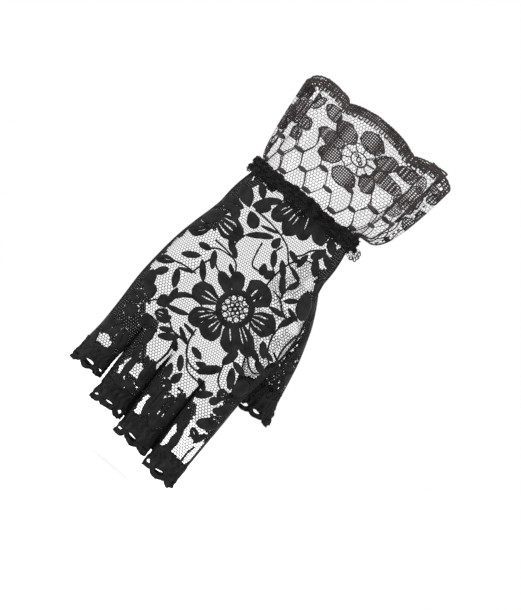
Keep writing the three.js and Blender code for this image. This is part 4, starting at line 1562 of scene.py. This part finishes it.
# %% All five edgings
OPENINGS = {
    "little": (0.5, 1.5, 0.4, 0.8, 1.0, 0.7),
    "ring": (0.5, 0.4, 0.9, 1.0, 0.8, 1.1),
    "middle": (0.4, 1.1, 0.5, 0.8, 1.1, 0.7),
    "index": (0.8, 1.2, 0.6, 1.0, 0.7, 1.1),
}
for k, (finger, openings) in enumerate(OPENINGS.items()):
    edging(f"{finger}_edging_lace", f"{finger}_edging", stall_rim(k, 6), k * 1.3, openings)
THUMB_OPENINGS = (1.0, 0.7, 1.1, 0.8, 1.2, 1.3, 1.2, 0.9)
edging("thumb_edging_lace", "thumb_edging", thumb_rim(8), 5.0, THUMB_OPENINGS, slant=4.6)

# %% [markdown]
# ## Wrist band
# The band is lace gathered on thin elastic: puckers that run up and down, drawn in along
# a wavy row of stitches, with a small ragged heading at each edge. It is a closed slab
# with close net and crushed threads laid over it.

# %% Puckers of the band
BAND_LACE = 172.0  # millimetres round the wrist
BAND_EDGE = BAND_HEIGHT / 2
DRAWN_IN = 0.66


def band_height(turn, z):
    """How far the gathered lace stands out from the wrist: large and small puckers, less
    where it is stitched down, and a tuft at the thumb's side."""
    crowd = 27 * np.pi * turn + 2.1 * np.sin(5 * turn + 1) + 1.3 * np.sin(13 * turn)
    puckers = np.sin(crowd + 0.9 * np.sin(z * 0.9 + 3 * turn)) * (1 + 0.5 * np.sin(11 * turn))
    small = np.sin(61 * np.pi * turn + 1.7 * np.sin(z * 1.3 + 4 * turn))
    stitched = np.exp(-(((z - 0.6 * np.sin(7 * turn)) / 0.6) ** 2))
    tuft = np.exp(-(((turn - 0.5) / 0.045) ** 2)) * smooth_step(2, -BAND_EDGE, z)
    swell = 1.1 + 0.8 * puckers + 0.3 * small - 0.6 * stitched + 1.6 * tuft
    return np.maximum(swell, 0.1)


def band_edge(turn, z):
    """Heights with the ragged, wavy headings of the gathered lace. The elastic draws it in
    to about two thirds of the band, and it sits a little higher on the palm's side by the
    little finger."""
    ragged = 0.8 * np.sin(17 * turn + 2) + 0.5 * np.sin(53 * turn) + 0.35 * np.sin(131 * turn)
    middle = 0.7 - 0.9 * smooth_step(-0.7, -0.3, turn)
    return middle + DRAWN_IN * z + ragged * (z / BAND_EDGE) ** 2 * np.sign(z) * 0.7


def band_at(u, v):
    """A point of the band's outside, with u the length of lace from the palm's middle."""
    turn = 2 * u / BAND_LACE - 1
    return wrist(turn, GAP + 0.5 + band_height(turn, v), band_edge(turn, v))


# %% Band piece
band_form = Form(band_at)
cloth = Cloth()
turn = np.linspace(-1, 1, 241)[None, None, :]
z = np.linspace(-BAND_EDGE, BAND_EDGE, 11)[None, :, None]
outer = wrist(turn + 0 * z, GAP + 0.3 + 0.8 * band_height(turn, z), band_edge(turn, z))
inner = wrist(turn + 0 * z, GAP + 0.05, band_edge(turn, z))
flat = [np.broadcast_to(f, outer.shape[:3]) for f in (turn * BAND_LACE / 2, z)]
flat = [np.stack([f, f], 1).ravel() for f in flat]
cloth.add(np.stack([outer, inner], 1), flat, slab_faces(1, 11, 241), 0)

low = np.array([0.0, -BAND_EDGE - 0.4])
high = np.array([BAND_LACE - 0.9, BAND_EDGE + 0.5])
cells = net_cells(low, high, 1.15, lambda u, v: np.abs(v) < 6)
u, v = cells[0].T
thick = 0.5 + 0.25 * np.sin(u * 0.7) + 0.2 * np.sin(v * 1.9 + u * 0.31)
add_net(cloth, band_form, low, cells, np.clip(thick, 0.25, 0.98), 0.12, 0, level=0.1)


# %% Crushed threads on the band
u = np.arange(96) * BAND_LACE / 96
v = 3.2 * np.sin(u * 2.3)
tip_u, tip_v = u + 2.8 * np.cos(u), v + 2.6 * np.sin(u * 1.1)
width = 1.5 + 0.6 * np.sin(u * 3.7)
crushed = np.stack([u, v, tip_u, tip_v, width, 0.3 + 0 * u, 0 * u, 0.5 + 0 * u], -1)[2:-3]
add_petals(cloth, band_form, crushed, 0, rise=0.45, sink=0.0)
band = cloth.piece("gathered_band", GATHERED)
settle(band, "wrist_band")

# %% [markdown]
# ## Frill
# The frill is a coarser lace with a fine net ground. Its chart repeats every two
# scallops: a flower in one and leaves with a bud in the next, over a honeycomb of large
# cells with lens-shaped spots. Its petals are cross-hatched cloth inside a cord outline,
# and the scalloped border is a woven band with square picots on its inner side. The palm
# side carries the same chart, placed straight behind the back's, so that the two don't
# blur each other where one is seen through the other.

# %% The frill's chart
FLOWER_AT = (378, 226)
FRILL_FLOWER = """
378 214 379 195 26 0 0 .5
366 217 340 208 16 0 0 .55
391 217 417 207 16 0 0 .55
359 226 326 226 14 0 0 .5
398 226 430 226 14 0 0 .5
364 236 341 243 16 0 0 .5
391 236 412 244 16 0 0 .5
377 240 377 258 27 0 0 .5
340 209 318 202 13 0 0 .5
416 209 437 202 13 0 0 .5
"""
FRILL_LEAVES = """
459 236 459 208 15 0 0 .45
452 240 437 247 12 0 0 .5
466 240 481 247 12 0 0 .5
448 226 434 234 12 0 0 .5
470 226 484 234 12 0 0 .5
450 214 441 198 9 0 0 .5
468 214 477 198 9 0 0 .5
"""

# %% From the chart to the frill
REPEAT = 2 * FRILL_SCALLOP
COLUMN = FRILL_SCALLOP / 5
NEARER = 1 - 18 * MM / DISTANCE  # the frill's back is 18 mm nearer the camera


def to_frill(x, y):
    """Chart squares, as seen from the front, to lace: the flower's middle is at the first
    scallop's."""
    z = LOOK_AT.z / MM + ((CHART_Y - y) * SQUARE - LOOK_AT.z / MM) * NEARER
    return FRILL_OFFSET + (x - FLOWER_AT[0]) * SQUARE * NEARER, z


def on_frill(rows):
    """Rows of petals from chart squares to lace."""
    w0, z0 = to_frill(rows[:, 0], rows[:, 1])
    w1, z1 = to_frill(rows[:, 2], rows[:, 3])
    return np.stack([w0, z0, w1, z1, rows[:, 4] * SQUARE, *rows[:, 5:8].T], -1)


def repeated(rows):
    """The rows of one repeat, three times round the frill."""
    return np.concatenate([shifted(rows, i * REPEAT, 1) for i in range(-1, 2)])


# %% The frill's two sides and its hem
# The sides meet at the ends of the oval, where the lace is seen edge on. The hem sags in
# a quarter oval from so many millimetres before each end, over a length.
NEAR_START, NEAR_END = np.interp([-0.5, 0.5], FINE_TURNS, frill_run)
LITTLE_SAG, THUMB_SAG = (18.6, 10.8), (15.6, 11.0)
SAG = 8.0


def on_near_side(w):
    """True on the back's side of the frill."""
    return (w > NEAR_START) & (w < NEAR_END)


def frill_top(w):
    """The height of the scalloped hem, which sags where the frill turns at its sides."""
    little = (NEAR_START + LITTLE_SAG[0] - w) / LITTLE_SAG[1]
    thumb_side = (w - NEAR_END + THUMB_SAG[0]) / THUMB_SAG[1]
    sag = SAG * (1 - np.sqrt(1 - np.clip(np.maximum(little, thumb_side), 0, 0.97) ** 2))
    scallop = (w - FRILL_OFFSET) / FRILL_SCALLOP + 0.5
    return FRILL_HEIGHT - sag - notch(scallop, FRILL_SCALLOP_RISE)


def far_side(w, z):
    """Lace coordinates on the palm side, straight behind those on the back."""
    turn, height = straight_through(np.interp(w, frill_run, FINE_TURNS), z)
    return np.interp(turn, FINE_TURNS, frill_run), height


frill_form, far_form = Form(frill), Form(frill, -1, far_side)
print("the back's side of the frill is", round(NEAR_END - NEAR_START, 1), "mm of lace")

# %% Petals and honeycomb of the frill
CELL_CORNER, CELL_HALF = 2.2, 6.1
FLOWER_FOOT = 15.0  # the flowers come down to this height


def honeycomb():
    """Corners and spots of the large cells, in columns, every other one half a cell
    higher. Each cell gives its two right-hand sides as cords, and the spot on its upper
    side below the flowers."""
    cords, spots = [], []
    for column in range(-16, 16):
        w = FRILL_OFFSET - CELL_CORNER + column * COLUMN
        right, point = w + CELL_CORNER, w + COLUMN - CELL_CORNER
        first = 17.0 if column % 2 == 0 else 23.1
        for z in (first, first - 2 * CELL_HALF, first - 4 * CELL_HALF):
            if z > 0:
                cords.append([(right, z + CELL_HALF), (point, z), (right, z - CELL_HALF)])
            if z < FLOWER_FOOT:
                top = z + CELL_HALF
                spots.append((w - CELL_CORNER - 0.4, top, right + 0.4, top, 2.1, 0, 0, 0.5))
    return np.array(cords), np.array(spots)


one_repeat = on_frill(np.concatenate([read_rows(FRILL_FLOWER), read_rows(FRILL_LEAVES)]))
FRILL_PETALS = repeated(one_repeat)
FRILL_PETALS = FRILL_PETALS[on_near_side((FRILL_PETALS[:, 0] + FRILL_PETALS[:, 2]) / 2)]
COMB, SPOTS = honeycomb()
spot_w, spot_z = (SPOTS[:, 0] + SPOTS[:, 2]) / 2, (SPOTS[:, 1] + SPOTS[:, 3]) / 2
SPOTS = SPOTS[~in_petals(spot_w, spot_z, FRILL_PETALS, -0.6) & on_near_side(spot_w)]
print(len(FRILL_PETALS), "frill petals,", len(SPOTS), "spots")

# %% Net and hatching of the frill
BORDER = 3.1
FRILL_PITCH = (NEAR_END - NEAR_START) / 66
HATCH = 1.0
low = np.array([NEAR_START, 0.6])
high = np.array([NEAR_END, FRILL_HEIGHT])


def frill_net(u, v):
    """True below the border and outside the petals."""
    return (v < frill_top(u) - BORDER + 0.5) & ~in_petals(u, v, FRILL_PETALS, 0.25)


def hatched(u, v):
    """The petals and the border, which are cross-hatched cloth."""
    border = (v > frill_top(u) - BORDER) & (v < frill_top(u) - 0.3)
    return border | in_petals(u, v, FRILL_PETALS, 0.1)


NET_CELLS = net_cells(low, high, FRILL_PITCH, frill_net)
HATCH_CELLS = square_cells(low, high, HATCH, hatched)
in_border = HATCH_CELLS[0][:, 1] > frill_top(HATCH_CELLS[0][:, 0]) - BORDER
HATCH_THREAD = np.where(in_border, 0.6, 0.48)
print(len(NET_CELLS[0]), "net cells and", len(HATCH_CELLS[0]), "hatched ones on each side")

# %% Cords of the frill
comb = COMB[~in_petals(COMB[:, 1, 0], COMB[:, 1, 1], FRILL_PETALS, -0.4)]
centre_w, centre_z = to_frill(*FLOWER_AT)
in_centre = ((comb[:, 1, 0] - centre_w) / 13) ** 2 + ((comb[:, 1, 1] - centre_z) / 8) ** 2 < 1
comb = comb[on_near_side(comb[:, 1, 0]) & ~in_centre]
comb_paths = np.stack([smooth_path(cord, 8) for cord in comb])


def petal_outlines(petals, count=13):
    """Closed paths round petals, a little inside their edges."""
    start, way, side, length = petal_frame(petals)
    t = np.concatenate([np.linspace(0.01, 0.99, count), np.linspace(0.99, 0.01, count)])
    sign = np.repeat([1, -1], count)
    half = petal_half(t[None], petals[:, 4:5], petals[:, 7:8]) * sign
    path = start[:, None] + way[:, None] * (t[None] * length[:, None])[..., None]
    path = path + side[:, None] * half[..., None]
    return np.concatenate([path, path[:, :1]], 1)


# %% Ring, disc, spokes and seeds in the middle of each frill flower
middles = np.array([to_frill(FLOWER_AT[0] + 0.5, FLOWER_AT[1])])
middles = middles + np.arange(-1, 2)[:, None] * (REPEAT, 0)
middles = middles[on_near_side(middles[:, 0])]
a = np.linspace(0, TURN, 49)
waves = 1 + 0.07 * np.abs(np.sin(4.5 * a))
ring = np.stack([8.6 * np.cos(a), 6.2 * np.sin(a)], -1) * waves[:, None]
disc = np.stack([3.8 * np.cos(a), 2.9 * np.sin(a)], -1)
spokes = np.arange(9) / 9 * TURN + 0.2
near = np.stack([4.0 * np.cos(spokes), 3.0 * np.sin(spokes)], -1)[:, None]
far = np.stack([8.4 * np.cos(spokes), 6.1 * np.sin(spokes)], -1)[:, None]
spoke_paths = mix(near, far, np.linspace(0, 1, 4)[None, :, None])
seeds = circles([(0, 0), (-1.6, 1), (1.5, -1)], [1.0, 0.7, 0.7], count=11)

# %% The hem's cord and its picots
border_w = np.linspace(NEAR_START - 0.3, NEAR_END + 0.3, 181)
bumps = 0.3 * np.abs(np.sin(border_w * np.pi / 1.5))
picots = int((NEAR_END - NEAR_START) / 2.7)
w = NEAR_START + (np.arange(picots) + 0.5) * (NEAR_END - NEAR_START) / picots
loop = np.array([(-0.75, 0.3), (-0.75, -1.9), (0.75, -1.9), (0.75, 0.3)])
corners = np.stack([mix(loop[i], loop[i + 1], t) for i in range(3) for t in (0.03, 0.97)])
picot_paths = np.stack([w, frill_top(w) - BORDER], -1)[:, None] + corners[None]

# %% Both sides of the frill
cloth = Cloth()
for form in (frill_form, far_form):
    add_net(cloth, form, low, NET_CELLS, 0.13, 0.07, 0)
    add_net(cloth, form, low, HATCH_CELLS, HATCH_THREAD, 0.12, 1)
    add_cords(cloth, form, petal_outlines(FRILL_PETALS), 0.46, 0.1, 1, -0.5)
    add_cords(cloth, form, comb_paths, 0.34, 0.02, 1, -0.45)
    add_petals(cloth, form, SPOTS, 1, rise=0.1, sink=-0.45)
    for middle in middles:
        add_cords(cloth, form, middle + np.stack([ring, disc]), 0.42, 0.05, 1, -0.45)
        add_cords(cloth, form, middle + spoke_paths, 0.36, 0.02, 1, -0.45)
        add_cords(cloth, form, middle + seeds, 0.4, 0.02, 1, -0.45)
    for drop, width in ((0.25 - bumps, 0.8), (BORDER + 0 * bumps, 0.6)):
        path = np.stack([border_w, frill_top(border_w) - drop], -1)[None]
        add_cords(cloth, form, path, width, 0.1, 1, -0.5)
    add_cords(cloth, form, picot_paths, 0.4, 0.05, 1, -0.45)

# %% Tuft: a loose end of frill lace that sticks out at the thumb's side
def tuft_at(u, v):
    """A slanting, wavy sheet that starts inside the band and runs out sideways."""
    return np.stack(
        [28.0 + u, 1.2 * np.sin(1.1 * u) + 0.5 * v, v - 1.6 + 0.25 * np.sin(2 * u)], -1
    )


tuft_form = Form(tuft_at)
low = np.array([0.0, -4.2])
cells = net_cells(low, np.array([5.4, 0.4]), 1.05, lambda u, v: u < 4.9 + 0.6 * np.sin(2 * v))
add_net(cloth, tuft_form, low, cells, 0.3, 0.12, 1, level=0.0)
loops = circles([(5.0, -0.4), (5.3, -2.0), (4.9, -3.6), (3.2, -4.2)], np.full(4, 0.8), count=11)
add_cords(cloth, tuft_form, loops, 0.4, 0.2, 1, -0.2)
frill_lace = cloth.piece("frill_lace", FRILL_NET, FRILL_WOVEN)
settle(frill_lace, "wrist_frill")
